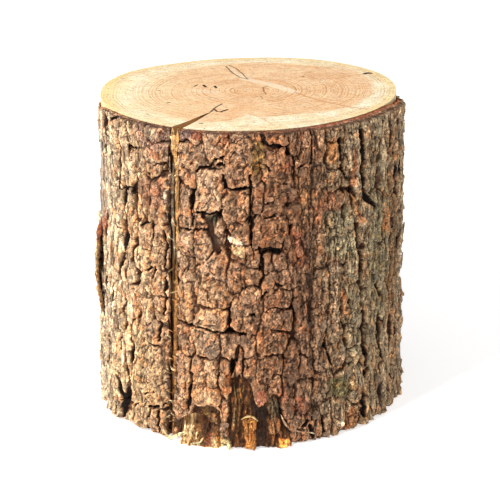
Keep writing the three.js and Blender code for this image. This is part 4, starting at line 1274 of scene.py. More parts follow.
def bark_finish(weathering, flaking):
    material, tree, surface = shader("weathered_bark")
    crest, place = read(tree, "crest"), object_place(tree)
    grained = place_group(
        tree, weathering, Colour=read(tree, "tone", "Color"), Mottling=0.55, Upright=0.6
    )
    flakes = place_group(tree, flaking)
    # Each flake's tone, with the painted light and shade across it by its lean.
    colour = scaled(grained["Colour"], swing((flakes["Shade"] - 0.5) * 1.2))
    colour = tinted(colour, flakes["Warm"] * 0.6, (1.25, 0.86, 0.62))
    # Painted highlight: raised crests are lightened as if catching the light; pale flakes add their
    # own colour.
    wear_and_highlight = ramp(crest, 0.05, 0.5, 0.0, 0.75) + flakes["Pale"] * 0.35
    colour = tinted(colour, wear_and_highlight, (2.0, 1.88, 1.64))
    # Painted shade: hollows of the relief and the thin gaps between flakes are darkened towards dark
    # brown.
    hollow = maths("MAXIMUM", ramp(crest, -0.1, -0.65, 0.0, 0.8), flakes["Gap"] * 0.75)
    colour = blend(hollow, colour, linear("3a2012"))
    # Tiny pale specks, and some dark ones.
    dust = patchy(place, 1.9, detail=2.0, rough=0.6)
    colour = tinted(colour, ramp(dust, 0.6, 0.72, 0, 0.9), (2.1, 2.05, 1.95))
    colour = blend(ramp(dust, 0.36, 0.27, 0, 0.6), colour, linear("3a2012"))
    # The dark attribute, roughened by noise, turns the colour dark brown and near black: painted shade
    # in furrows, splits, pockets and gaps, and the bare patch's own darker tone.
    edge = read(tree, "dark") + (patchy(place, 2.6, detail=2.0) - 0.5) * 0.7
    colour = blend(ramp(edge, 0.28, 0.7, 0, 0.85), colour, linear("4f2d1a"))
    colour = blend(ramp(edge, 0.72, 1.05), colour, linear("150b06"))
    plug(colour, surface.inputs["Base Color"])
    plug(ramp(grained["Grain"], 0.3, 0.8, 0.78, 0.97), surface.inputs["Roughness"])
    plug(bumps(grained["Grain"] * 0.7 + flakes["Height"], 1.1, 0.75), surface.inputs["Normal"])
    plug(0.25, surface.inputs["Specular IOR Level"])
    return material


# The wood: one grid that runs out over the top, down the side and in under the base.

TOP_RINGS = 44
WOOD_COLUMNS = 480
YEARS = 46

# What a place on the wood belongs to: the upper cut, the outside, the crack or the base.
TOP, SIDE, WALL, BASE = range(4)

# How far out the orange heartwood reaches at the upper cut, by angle.
HEART_REACH = [
    (-180, 116), (-150, 111), (-127, 109), (-100, 106), (-80, 108), (-52, 121), (-31, 125),
    (-20, 124), (-9, 115), (-3, 90), (-0.5, 85), (4, 93), (8, 97), (29, 98), (54, 113), (71, 115),
    (91, 123), (112, 131), (130, 137), (154, 123), (180, 116),
]

# The hollow in the torn foot, painted dark as shade: angle, height, half width, half tallness and
# depth.
FOOT_HOLLOW = (-15.6, 22, 12, 13, 5.5)


def crack_walls(radius, height):
    """The crack's middle angle and half its width, in degrees, at a radius and a height."""
    middle = crack_angle(height)
    lip = wood_radius(middle, height)
    depth = np.clip((lip - radius) / (lip - CRACK.tip_radius), 0, None)
    inside = np.clip(1 - depth, 0, 1)
    mouth = between(CRACK.mouth_base, CRACK.mouth_top, eased(height / HEIGHT))
    wander = 0.5 * ripple(201, radius * 3, height, 30, 60)
    bend = 0.8 * np.sin(depth * 5.4) * inside + wander * inside**0.5
    angle = between(middle, CRACK.tip_angle, np.minimum(depth, 1))
    at = np.maximum(radius, 20)
    return angle + np.degrees(bend / at), np.degrees(mouth / 2 * inside**0.9 / at)


def wood_places():
    """Angle, radius and height of every place on the wood, column by column."""
    share = np.linspace(0, 1, WOOD_COLUMNS + 1)[:, None]
    rings = np.linspace(0, 1, TOP_RINGS + 1)[1:]
    levels = np.concatenate([np.linspace(HEIGHT, 48, 60)[1:], np.linspace(48, 0, 40)[1:]])
    low = rings[::-1][1::5]
    fractions = np.concatenate([[0], rings, np.ones(len(levels)), low, [0]])
    count_top, count_side = len(rings) + 1, len(levels)
    heights = np.concatenate([np.full(count_top, HEIGHT), levels, np.zeros(len(low) + 1)])
    fractions, heights = fractions[None, :], heights[None, :] + 0 * share
    radius = fractions * wood_radius(crack_angle(heights) + 360 * share, heights)
    for _ in range(2):
        middle, half = crack_walls(radius, heights)
        angle = middle + half + (360 - 2 * half) * share
        radius = fractions * wood_radius(angle, heights)
    return angle, radius, heights, fractions, count_top, count_side


def wood_roughness(angle, radius, heights, fractions):
    """Splits and fibres on the wood's sides, which the bark leaves in view in a few places."""
    arc = np.radians(angle) * MEAN_RADIUS
    side = np.clip((fractions - 0.98) / 0.02, 0, 1) * np.ones_like(angle)
    inside = eased((HEIGHT - 3 - heights) / 6) * side
    strands = grain(211, arc + 1.2 * ripple(213, arc, heights, 9, 40), heights, 4.5, 60, 3)
    foot = foot_share(wrapped(angle)) * eased((34 - heights) / 18)
    # Never out past the bark's inner face, except at the bare foot.
    move = -0.5 + 0.35 * strands
    torn = 2.6 * strands + 2.2 * ripple(214, arc, heights, 7, 16) - 1.6
    torn = torn - 2.2 * hollow_share(angle, heights) * FOOT_HOLLOW[4] / 4
    torn = torn + 8 * eased(1 - heights / 18)
    return radius + inside * (np.minimum(move, 0) * (1 - foot) + torn * foot)


def hollow_share(angle, heights):
    x, z = apart(angle, heights, FOOT_HOLLOW)
    return eased(1.8 - 1.3 * np.hypot(x / FOOT_HOLLOW[2], z / FOOT_HOLLOW[3]))


def wood_wall(side, levels):
    """One wall of the drying crack, from its lip in to its tip."""
    depth = np.linspace(0, 1, 15)[:, None]
    heights = levels[None, :] + 0 * depth
    lip = wood_radius(crack_angle(heights), heights)
    radius = between(lip, CRACK.tip_radius, depth)
    middle, half = crack_walls(radius, heights)
    angle = middle + side * half
    roomy = eased(depth * 8) * eased((1 - depth) * 5)
    fibre = 0.5 * grain(221 + side, radius * 3, heights, 5, 60, 3) * roomy
    return angle + side * np.degrees(fibre / radius), radius, heights


def quads_of(columns, rows):
    i, j = np.meshgrid(np.arange(columns - 1), np.arange(rows - 1), indexing="ij")
    corner = i * rows + j
    return np.stack([corner, corner + 1, corner + rows + 1, corner + rows], -1).reshape(-1, 4)


def foot_tones(angle, heights):
    """The torn foot's colours: cream fibres, painted shade in its hollow and browned edges."""
    arc = np.radians(angle) * MEAN_RADIUS
    strands = grain(231, arc + 1.0 * ripple(232, arc, heights, 9, 30), heights, 2.6, 40, 3)
    turned = wrapped(angle)
    cream = eased((turned + 26.5) / 2) * eased((-19.2 - turned) / 1.6)
    block = eased((turned + 13.4) / 0.8) * eased((-6.6 - turned) / 0.8) * eased((9 - heights) / 1.6)
    pale = np.maximum(cream, block)
    tone = between(linear("5a3c22"), linear("94683c"), eased(0.5 + strands)[..., None])
    bright = between(linear("a2682e"), linear("ecc890"), eased(0.55 + 1.9 * strands)[..., None])
    tone = between(tone, bright, pale[..., None])
    # Painted shade: the hollow is darkened as the shade inside it.
    dark = between(linear("2e1c12"), linear("764826"), eased(0.4 + strands)[..., None])
    tone = between(tone, dark, (hollow_share(angle, heights) * (1 - block))[..., None])
    red = eased((turned + 15.6) / 0.8) * eased((-12.6 - turned) / 0.8) * eased((11 - heights) / 2)
    tone = between(tone, linear("a05a40"), (0.6 * red)[..., None])
    sapwood = between(linear("dcb070"), linear("f2dba2"), eased(0.6 + 0.9 * strands)[..., None])
    return between(tone, sapwood, eased((heights - 286) / 14)[..., None])


def grow_wood(material):
    angle, radius, heights, fractions, count_top, count_side = wood_places()
    kind = np.zeros(angle.shape)
    kind[:, count_top : count_top + count_side - 1] = SIDE
    kind[:, count_top + count_side - 1 :] = BASE
    parts = [(angle, radius, heights, kind, False)]
    levels = heights[0, count_top - 1 : count_top + count_side]
    for side in (1, -1):
        wall = wood_wall(side, levels)
        parts.append((*wall, np.full(wall[0].shape, float(WALL)), side > 0))
    points, faces, values = [], [], {"ring": [], "kind": [], "heart": []}
    tones, spots, base = [], [], 0
    for angle, radius, heights, kind, flip in parts:
        ring = radius / wood_radius(angle, heights)
        heart = listed(HEART_REACH, wrapped(angle)) - radius
        if not points:
            radius = wood_roughness(angle, radius, heights, fractions)
        points.append(to_frame(angle, radius, heights).reshape(-1, 3))
        block = quads_of(*angle.shape)
        turn = slice(None, None, -1 if flip else 1)
        spots.append(wood_map(angle, ring, heights, kind, block)[:, turn])
        faces.append(block[:, turn] + base)
        for name, value in (("ring", ring), ("kind", kind), ("heart", heart)):
            values[name].append(value.ravel())
        tones.append(foot_tones(angle, heights).reshape(-1, 3))
        base += angle.size
    faces = np.concatenate(faces).tolist()
    piece = new_piece("trunk_wood", np.concatenate(points), faces, material)
    for name, value in values.items():
        note_values(piece, name, np.concatenate(value))
    note_colours(piece, "tone", np.concatenate(tones))
    layer = piece.data.uv_layers.new(name="OFBake")
    layer.data.foreach_set("uv", np.concatenate(spots).astype(np.float32).ravel())
    piece.data.set_sharp_from_angle(angle=math.radians(40))
    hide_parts("wood")


def wood_map(angle, ring, heights, kind, block):
    """Lays the top out as a disc on the wood's map, and the rest beside it."""
    a, r, z, k = (value.ravel()[block] for value in (angle, ring, heights, kind))
    # A face that lies in one of the saw cuts belongs to it.
    what = np.where(z.min(1) > HEIGHT - 0.01, TOP, np.where(z.max(1) < 0.01, BASE, SIDE))
    what = np.where(k.min(1) == WALL, WALL, what)[:, None, None]
    x, y = r * np.sin(np.radians(a)), r * np.cos(np.radians(a))
    top = np.stack([0.37 + 0.36 * x, 0.37 - 0.36 * y], -1)
    base = np.stack([0.87 + 0.12 * x, 0.87 + 0.12 * y], -1)
    turn = (a - crack_angle(z)) / 360
    side = np.stack([0.745 + 0.25 * np.clip(turn, 0, 1), 0.005 + 0.73 * z / HEIGHT], -1)
    lip = np.clip((r - 0.4) / 0.6, 0, 1)
    odd = (angle.ravel()[0] > crack_angle(HEIGHT)) * 0.125
    wall = np.stack([0.005 + 0.72 * z / HEIGHT, 0.747 + odd + 0.12 * lip], -1)
    picked = np.where(what == TOP, top, np.where(what == BASE, base, side))
    return np.where(what == WALL, wall, picked)


# Marks on the upper cut, in millimetres from the trunk's axis: half width, strength and points.
DARK_MARKS = [
    (0.8, 0.9, [(-37, -80), (-34, -67), (-26.9, -50.7)]),
    (0.9, 0.9, [(-55.9, 17.2), (-53.1, 23.3)]), (1.2, 1.0, [(-47.0, 22.3), (-44.3, 14.2)]),
    (1.2, 1.0, [(-35.4, 18.3), (-33.9, 11.2)]),
    (0.7, 0.75, [(-25.3, 102.3), (-17.5, 71.6), (-10.1, 54.5), (-1.8, 46.0)]),
    (0.6, 0.7, [(-22.1, 106.8), (-14.6, 93.4), (-8.1, 71.6), (-1.8, 46.0)]),
    (0.8, 1.0, [(-33.8, -70.9), (-31.2, -79), (-27.4, -80)]), (1.1, 1.0, [(-27.4, -80), (-21.5, -72)]),
    (2.2, 1.0, [(120.5, 70), (124.0, 73), (126, 71.6)]),
    (0.6, 0.6, [(18.5, 17.2), (13.4, 13.2), (14.3, -2.8), (16.2, -14.5)]),
    (1.0, 0.6, [(-133.0, 50.2), (-129.9, 50.2)]), (1.1, 0.8, [(-46.2, -120.1), (-44.3, -120.1)]),
    (1.1, 0.7, [(-79.7, -45.1), (-78, -46.6)]), (0.9, 0.6, [(-91.0, 1.2), (-90.3, -0.4)]),
    (1.1, 0.6, [(55.3, 58.7), (55.8, 57.0)]), (0.8, 0.5, [(6.2, -22.3), (9, -22.3)]),
    (0.6, 0.5, [(11.1, -22.3), (13.1, -29.9)]),
]
WARM_MARKS = [
    (1.2, 0.8, [(45.2, -6.7), (66.9, -37.6), (98.5, -63.6), (112.0, -70)]),
    (0.9, 0.8, [(117.1, 67.2), (106.4, 63.0), (91.2, 50.2), (70.3, 46.0), (62.5, 58.7)]),
    (0.9, 0.6, [(-5.1, 115.8), (13.2, 120.4)]), (0.8, 0.6, [(11.6, -95.9), (47.8, -85.3)]),
    (0.7, 0.5, [(19.7, -52.5), (33.3, -48.8)]),
    (0.7, 0.6, [(-0.7, -85.3), (11.5, -102.9), (20.7, -123.5)]),
    (0.8, 0.5, [(52.7, -22.3), (92.0, -59.9)]),
]
PALE_MARKS = [
    (4.5, 0.5, [(-3.9, 46.0), (20.6, 25.4), (45.2, -6.7)]),
    (2.6, 0.35, [(-20, 90), (-12, 67), (-5, 52)]), (6, 0.25, [(-48, -2), (-36, -8)]),
]


def make_line():
    """How far a place is from the line between two points, in millimetres."""
    group = bpy.data.node_groups.new("off_line", "ShaderNodeTree")
    group_sockets(group, [
        ("Place", "INPUT", "NodeSocketVector", None), ("From", "INPUT", "NodeSocketVector", None),
        ("To", "INPUT", "NodeSocketVector", None), ("Away", "OUTPUT", "NodeSocketFloat", None),
    ])
    start = add(group, "NodeGroupInput")
    place, first, last = (Wire(group, start.outputs[name]) for name in ("Place", "From", "To"))
    along = vectors("SUBTRACT", last, first)
    out = vectors("SUBTRACT", place, first)
    reach = vectors("DOT_PRODUCT", out, along, output="Value")
    whole = vectors("DOT_PRODUCT", along, along, output="Value")
    share = maths("MAXIMUM", maths("MINIMUM", reach / whole, 1.0), 0.0)
    # Multiplied as a vector instead, this leaves the wood black in the render.
    foot = add(group, "ShaderNodeVectorMath", operation="SCALE")
    plug(along, foot.inputs[0])
    plug(share, foot.inputs["Scale"])
    away = vectors("DISTANCE", out, Wire(group, foot.outputs[0]), output="Value")
    return end_group(group, {"Away": away * 1000.0})


def marked(place, line, marks):
    """Where the marks are on the upper cut, from 0 to 1."""
    total = None
    for width, strength, points in marks:
        spots = [
            ((x + AXIS[0]) / 1000, (y + AXIS[1]) / 1000, HEIGHT / 1000) for x, y in points
        ]
        for start, stop in zip(spots, spots[1:]):
            away = place_group(place.tree, line, Place=place, From=start, To=stop)["Away"]
            mask = ramp(away, width * 1.5, width * 0.9, 0, strength)
            total = mask if total is None else maths("MAXIMUM", total, mask)
    return total


def nudged(place, size, reach):
    """The place pushed about by noise, so that drawn lines wander."""
    push = vectors("SUBTRACT", noise(place, 1000 / size, 2.0, output="Color"), (0.5, 0.5, 0.5))
    flat = vectors("MULTIPLY", push, (reach / 1000, reach / 1000, 0))
    return vectors("ADD", flat, place)


def year_rings(ring, place, count):
    """Thin darker lines, one a year, unevenly spaced and of uneven strength."""
    tree = ring.tree
    ring = ring + (patchy(place, 38, detail=2.0) - 0.5) * 0.045
    line = add(tree, "ShaderNodeCombineXYZ")
    plug(ring, line.inputs[0])
    turn = ring * float(count) + noise(Wire(tree, line.outputs[0]), 14, 1.0) * 3.0
    part = maths("FRACT", turn)
    late = ramp(part, 0.35, 0.88) * ramp(part, 1.0, 0.93)
    number = add(tree, "ShaderNodeTexWhiteNoise", noise_dimensions="1D")
    plug(maths("FLOOR", turn), number.inputs["W"])
    strength = Wire(tree, number.outputs["Value"]) * 0.75 + 0.25
    return late * strength * ramp(patchy(place, 55, detail=2.0), 0.34, 0.56, 0.4, 1.0)


def split_place(place):
    node = add(place.tree, "ShaderNodeSeparateXYZ")
    plug(place, node.inputs[0])
    return [Wire(place.tree, part) for part in node.outputs]


def cut_colours(place, ring, heart, rings):
    """The upper cut's heartwood and sapwood, with the year rings in them."""
    across, back, _ = split_place(place)
    blotch = patchy(place, 24, detail=4.0)
    heartwood = blend(ramp(blotch, 0.36, 0.64), linear("ecbf90"), linear("f3cfa4"))
    sapwood = blend(ramp(blotch, 0.4, 0.65), linear("f5dfb6"), linear("fcf0d2"))
    left = ramp(across, -0.03, -0.14, 0, 0.75)
    heartwood = blend(left, heartwood, linear("f6deb2"))
    # The heartwood's edge is sharp at the front and fades out at the left.
    edge = ((blotch - 0.5) * 26.0 + heart) / (left * 30.0 + 3.0)
    colour = blend(ramp(edge, 1.0, -1.0), heartwood, sapwood)
    corner = ramp(across, -0.118, -0.146) * ramp(blotch, 0.3, 0.6)
    colour = blend(corner * 0.7, colour, linear("f8dc8c"))
    # The outermost sapwood is yellower, but not at the front.
    outer = ramp(ring, 0.9, 0.985, 0, 0.6) * ramp(back, -0.135, -0.07, 0.15, 1)
    colour = blend(outer, colour, linear("f4d690"))
    return tinted(colour, rings, (0.68, 0.48, 0.34))


def mark_cut(colour, place, line):
    """Pores, small holes and the drawn marks on the upper cut, and where the dark marks are."""
    pores = ramp(patchy(place, 2.6, (0.6, 1, 1), detail=1.0), 0.33, 0.27, 0, 0.75)
    colour = blend(pores, colour, linear("b5834f"))
    holes = ramp(patchy(place, 5.0, (1, 1.6, 1), detail=1.0), 0.255, 0.215, 0, 0.85)
    colour = blend(holes, colour, linear("5a3a1c"))
    wander = nudged(place, 7, 1.6)
    dark = marked(wander, line, DARK_MARKS)
    colour = blend(marked(nudged(place, 7, 7), line, PALE_MARKS), colour, linear("fbeed2"))
    colour = blend(marked(wander, line, WARM_MARKS), colour, linear("cf9260"))
    return blend(dark, colour, linear("341a0a")), dark


def wood_finish(weathering, line):
    material, tree, surface = shader("sawn_wood")
    ring, kind, heart = read(tree, "ring"), read(tree, "kind"), read(tree, "heart")
    place = object_place(tree)
    rings = year_rings(ring, place, YEARS)
    colour = cut_colours(place, ring, heart, rings)
    # Saw marks and specks.
    sawn = patchy(place, 2.2, (0.35, 1.0, 1.0), detail=2.0)
    speck = patchy(place, 1.5, detail=3.0, rough=0.7)
    fine = swing((sawn - 0.5) * 0.9 + (speck - 0.5) * 1.5)
    colour, dark = mark_cut(scaled(colour, fine), place, line)
    # The sides, the foot and the crack's walls.
    grained = place_group(
        tree, weathering, Colour=read(tree, "tone", "Color"), Mottling=0.5, Upright=0.12
    )
    strands = patchy(place, 1.7, (1, 1, 0.05), detail=3.0)
    height = split_place(place)[2]
    torn = scaled(grained["Colour"], swing((strands - 0.53) * ramp(height, 0.26, 0.29, 5.5, 1.8)))
    colour = blend(ramp(kind, 0.4, 0.9), colour, torn)
    wall = blend(ramp(strands, 0.36, 0.62), linear("9c6a36"), linear("e6b47a"))
    # Painted light and shade on the crack's walls: paler near the upper cut, darker deep in towards
    # its tip.
    wall = blend(ramp(height, 0.262, 0.304, 0, 0.8), wall, linear("dcb27a"))
    wall = blend(ramp(ring, 0.80, 0.62, 0, 0.85), wall, linear("4a2c14"))
    colour = blend(ramp(kind, 1.4, 1.9), colour, wall)
    below = scaled(blend(rings * 0.7, linear("d9b380"), linear("a87a48")), fine)
    colour = blend(ramp(kind, 2.4, 2.9), colour, below)
    plug(colour, surface.inputs["Base Color"])
    plug(0.62, surface.inputs["Roughness"])
    plug(0.25, surface.inputs["Specular IOR Level"])
    raised = dark * -1.6 + sawn * 0.35 + grained["Grain"] * 0.5
    plug(bumps(raised, 0.6, 0.5), surface.inputs["Normal"])
    return material


# Strands and splinters: colour, half width, half depth, and points as angle, height and how far
# out from the bark's even face.

STRANDS = [
    ("ecd9a4", 1.7, 1.1, [(-29.6, 1.4, 3), (-25.5, 7, 3), (-21.6, 13, 1.5)]),
    ("eedcaa", 1.2, 0.8, [(-20.6, 1.0, 4), (-18.4, 3, 4), (-16.2, 5.5, 2)]),
    ("ead4a0", 1.1, 0.8, [(-17.9, 0.8, 4.5), (-17.0, 4, 4), (-16.0, 9, 1)]),
    ("eedcaa", 1.4, 0.9, [(-31.2, 9, 1.5), (-29.8, 6, 2.5), (-28.4, 2.2, 2)]),
    ("e8d29c", 1.0, 0.7, [(-30.6, 3, 2), (-29.0, 5, 3), (-27.4, 4, 2)]),
    ("f3e2b4", 0.8, 0.6, [(-20.9, 20, -3), (-20.7, 10, -1), (-20.5, 2, 1)]),
    ("ecd7a8", 0.7, 0.5, [(-23.2, 22, -3), (-23.0, 12, -1), (-23.4, 3, 1)]),
    ("e9cf9a", 0.6, 0.5, [(-18.6, 16, -3), (-18.9, 8, -1), (-18.6, 1.5, 1)]),
    ("b58a63", 1.3, 1.0, [(-10.1, 39, -1), (-9.4, 22, -1.5), (-9.6, 5, -0.5)]),
    ("ecc78a", 0.9, 0.8, [(-3.1, 29, -2.2), (-1.3, 33, -1.6), (0.8, 34, -1.6), (2.9, 27, -2.4)]),
    ("d59448", 0.8, 0.7, [(-2.4, 28, -2.4), (-0.2, 26, -1.6), (1.6, 28, -2.0)]),
    ("e0a55c", 0.8, 0.6, [(0.6, 24, -2), (0.9, 14, -2), (0.6, 5, -2)]),
    ("f0dfc0", 0.8, 0.6, [(6.1, 1.2, -2), (6.8, 6, -1.6), (8.6, 9.5, -1.2), (11.4, 9.5, -1.4)]),
    ("e6cda6", 0.5, 0.4, [(8.4, 6, -1.6), (8.7, 9.5, -1.2), (8.5, 12, -1.6)]),
    ("c9a888", 0.9, 0.7, [(11.0, 33, -1.5), (12.5, 22, -0.5), (14.3, 17, 0), (19.6, 11, 0.6)]),
    ("c8a27c", 1.0, 0.9, [(-19.8, 45, 0.3), (-17.3, 41, 0.4), (-14.8, 45.5, 0.4), (-11.5, 43.5, 0),
        (-9.7, 37, -0.6)]),
    ("d8b48c", 0.7, 0.6, [(1.4, 61, -1.6), (1.7, 51, -1.8), (2.8, 44, -2)]),
    ("8d7350", 1.0, 0.8, [(-5.6, 66, -5), (-5.0, 48, -5), (-5.8, 26, -5), (-5.2, 6, -3)]),
    ("7a5a34", 0.9, 0.8, [(-4.0, 56, -5), (-3.4, 40, -5), (-4.2, 24, -4)]),
    ("9a8060", 0.7, 0.6, [(7.8, 48, -3), (8.2, 38, -3), (7.6, 30, -3)]),
    ("e8d6b0", 0.6, 0.5, [(19.6, 12, 0.8), (22.4, 10, 0.8), (24.8, 6, 0.8)]),
]
# The same in the slot, with points as millimetres from its middle, height and how far out.
SLOT_STRANDS = [
    ("deb078", 3.2, 1.8, [(-3.2, 315.5, -4.5), (-2.8, 304, -5), (-1.8, 290, -5.5), (-1.0, 278, -7)]),
    ("cf9c62", 3.0, 1.8, [(2.4, 315.5, -5), (2.0, 300, -5.5), (1.2, 286, -6), (0.6, 270, -7)]),
    ("9a8a72", 1.5, 1.2, [(-2.2, 292, -7), (-3.6, 262, -5), (-3.2, 238, -4.5), (-1.6, 214, -5),
        (-1.0, 188, -7)]),
    ("c99a5c", 1.7, 1.2, [(0.8, 304, -8), (0.6, 270, -6), (1.6, 236, -5), (2.6, 214, -6),
        (2.0, 170, -7)]),
    ("a87640", 2.2, 1.4, [(1.4, 206, -9), (1.0, 150, -8), (0.4, 90, -8), (1.0, 40, -8), (0.6, 6, -6)]),
    ("6e4622", 1.6, 1.4, [(-2.2, 196, -9), (-1.6, 130, -9), (-2.0, 60, -9), (-1.6, 10, -8)]),
    ("d6b078", 0.7, 0.6, [(2.6, 258, -5), (3.2, 240, -4), (3.0, 224, -4.5)]),
]

# How much of a strand's length thins to each of its ends, and how many small bits there are.
STRAND_TAPER = 0.22
SLOT_HAIRS = 34
LOOSE_SCALES = 420

# How far a loose scale stands off the bark, and its middle above its rim.
SCALE_LIFT = 0.9
SCALE_CROWN = 0.35

# The heights between which the lifted bark stands off the trunk.
FLAP_FOOT = 92
FLAP_TIP = 186


def strand_rings(path, half_wide, half_deep, rng):
    """Cross-sections of a thin strand along a path."""
    points = np.array(path, float)
    steps = np.concatenate([[0], np.cumsum(np.linalg.norm(np.diff(points, axis=0), axis=1))])
    t = np.linspace(0, 1, max(8, int(steps[-1] / 2.5)))
    at = t * steps[-1]
    middle = np.stack([np.interp(at, steps, points[:, k]) for k in range(3)], -1)
    for _ in range(3):
        middle[1:-1] = (middle[:-2] + 2 * middle[1:-1] + middle[2:]) / 4
    along = np.gradient(middle, axis=0)
    along /= np.linalg.norm(along, axis=1, keepdims=True)
    outward = middle * np.array([1, 1, 0]) - np.array([*AXIS, 0])
    outward /= np.linalg.norm(outward, axis=1, keepdims=True)
    aside = np.cross(along, outward)
    aside /= np.linalg.norm(aside, axis=1, keepdims=True)
    outward = np.cross(aside, along)
    size = np.clip(np.minimum(t, 1 - t) / STRAND_TAPER, 0.12, 1) ** 0.6
    size = np.clip(size * (1 + 0.25 * rng.standard_normal(len(t))), 0.1, 1.5)
    ring = [
        middle + (np.cos(a) * half_wide * size)[:, None] * aside
        + (np.sin(a) * half_deep * size)[:, None] * outward
        for a in np.radians([0, 60, 120, 180, 240, 300])
    ]
    return np.stack(ring, axis=1)


def add_strand(store, rings, code, rng):
    count, sides = rings.shape[:2]
    base = sum(len(points) for points in store.points)
    store.points.append(rings.reshape(-1, 3))
    for i in range(count - 1):
        for j in range(sides):
            k = (j + 1) % sides
            store.faces.append([base + i * sides + j, base + (i + 1) * sides + j,
                                base + (i + 1) * sides + k, base + i * sides + k])
    store.faces.append([base + j for j in range(sides)])
    store.faces.append([base + (count - 1) * sides + j for j in range(sides)][::-1])
    shade = np.exp(0.18 * rng.standard_normal((count, 1, 1)))
    store.tones.append((linear(code) * shade * np.ones((count, sides, 1))).reshape(-1, 3))


def place_in_slot(offset, height, out):
    degrees = crack_angle(height) + math.degrees(offset / MEAN_RADIUS)
    return to_frame(degrees, bark_radius(degrees, height) + out, height) * 1000


def finish_bits(name, store, material):
    points = np.concatenate(store.points) / 1000
    points[:, 2] = np.clip(points[:, 2], 0.0003, HEIGHT / 1000 - 0.0002)
    piece = new_piece(name, points, store.faces, material)
    tones = np.concatenate(store.tones)
    note_colours(piece, "tone", tones)
    for title, value in (("dark", 0.0), ("crest", 0.1)):
        note_values(piece, title, np.full(len(tones), value))
    piece.data.set_sharp_from_angle(angle=math.radians(50))


def grow_strands(material):
    rng = np.random.default_rng(31)
    store = SimpleNamespace(points=[], faces=[], tones=[])
    for code, wide, deep, points in STRANDS:
        path = [to_frame(a, bark_radius(a, z) + out, z) * 1000 for a, z, out in points]
        add_strand(store, strand_rings(path, wide, deep, rng), code, rng)
    for code, wide, deep, points in SLOT_STRANDS:
        path = [place_in_slot(*point) for point in points]
        add_strand(store, strand_rings(path, wide, deep, rng), code, rng)
    # Short pale hairs torn from the slot's edges.
    for _ in range(SLOT_HAIRS):
        height = rng.uniform(6, 300) if rng.random() < 0.5 else rng.uniform(6, 90)
        side = rng.choice([-1, 1])
        reach = rng.uniform(3, 8)
        rise = rng.uniform(-5, 5)
        path = [
            place_in_slot(side * 5.5, height, -1.5),
            place_in_slot(side * (5.5 - reach / 2), height + rise / 2, 0.4 + rng.uniform(-1, 1)),
            place_in_slot(side * (5.5 - reach), height + rise, rng.uniform(-3, 0.6)),
        ]
        code = rng.choice(["d9bd8c", "c9a274", "b08a5c", "e6d3a8"])
        add_strand(store, strand_rings(path, 0.42, 0.36, rng), code, rng)
    finish_bits("torn_strands", store, material)


def sheet_faces(rows, columns):
    """The faces of a sheet with a front and a back, closed along its four edges."""
    total = rows * columns
    front = quads_of(rows, columns)
    faces = np.concatenate([front, front[:, ::-1] + total]).tolist()
    loop = list(range(columns))
    loop += [i * columns + columns - 1 for i in range(1, rows)]
    loop += [(rows - 1) * columns + k for k in range(columns - 2, -1, -1)]
    loop += [i * columns for i in range(rows - 2, 0, -1)]
    return faces + [[b, a, a + total, b + total] for a, b in zip(loop, loop[1:] + loop[:1])]


def grow_flap(material):
    """The long shell of bark that stands off the trunk's left side, redder at its upper tip."""
    rows, columns = 130, 44
    v, u = np.linspace(0, 1, rows)[:, None], np.linspace(0, 1, columns)[None, :]
    height = between(FLAP_FOOT, FLAP_TIP, v) + 0 * u
    front = -76.5 + 5 * v + 1.0 * np.sin(v * 9) - 4.5 * np.clip(v - 0.8, 0, 1) / 0.2
    front = front + 0.5 * ripple(241, v * 160, height, 12, 9)
    back = -97 + 7 * np.clip(v - 0.7, 0, 1) / 0.3 + 4 * np.clip(0.2 - v, 0, 1) / 0.2
    degrees = between(front, back, u)
    arc = np.radians(degrees) * MEAN_RADIUS
    off = 5.2 * (1 - u) ** 0.9 * eased(v * 2.4) * eased((1 - v) * 6 + 0.2) - 0.5
    plates = scales(245, arc + 2 * ripple(246, arc, height, 9, 12), height, 11, 30)
    flakes = scales(247, arc + ripple(248, arc, height, 4, 6), height, 4.5, 8)
    gaps = eased(1 - plates.gap / 0.14)
    rough = 0.8 * grain(242, arc, height, 5, 30, 3) + 0.7 * grain(243, arc, height, 4, 4, 2)
    rough = rough + flaked(plates, 1.2, 1.2) + flaked(flakes, 1.0, 0.9) - 1.6 * gaps
    base = bark_radius(degrees, height) - 1.0 + off
    points = [
        to_frame(degrees, base + rough, height).reshape(-1, 3),
        to_frame(degrees, base - 3.2 + 0.3 * rough, height).reshape(-1, 3),
    ]
    faces = sheet_faces(rows, columns)
    piece = new_piece("lifted_bark", np.concatenate(points), faces, material)
    lead = np.clip(0.9 - u * 5 + 1.2 * ripple(249, arc, height, 5, 24), 0, 1)[..., None]
    shade = np.exp(0.3 * grain(244, arc, height, 6, 20, 3))[..., None]
    tip = (eased((v - 0.78) / 0.15) + 0 * u)[..., None]
    tone = between(between(linear("bda681"), linear("b59468"), lead), linear("92573f"), tip)
    inside = between(linear("8a6544"), linear("70402c"), tip)
    tones = [(colour * shade).reshape(-1, 3) for colour in (tone, inside)]
    note_colours(piece, "tone", np.concatenate(tones))
    # Painted shade in the gaps between its plates, and its inner face darkened; the crest paints
    # highlights on its ridges.
    note_values(piece, "dark", np.concatenate([0.9 * gaps.ravel(), np.full(gaps.size, 0.55)]))
    crest = np.clip(0.8 * (rough - softened(rough, 12)), -1, 1)
    note_values(piece, "crest", np.concatenate([crest.ravel(), np.zeros(gaps.size)]))
    piece.data.set_sharp_from_angle(angle=math.radians(50))


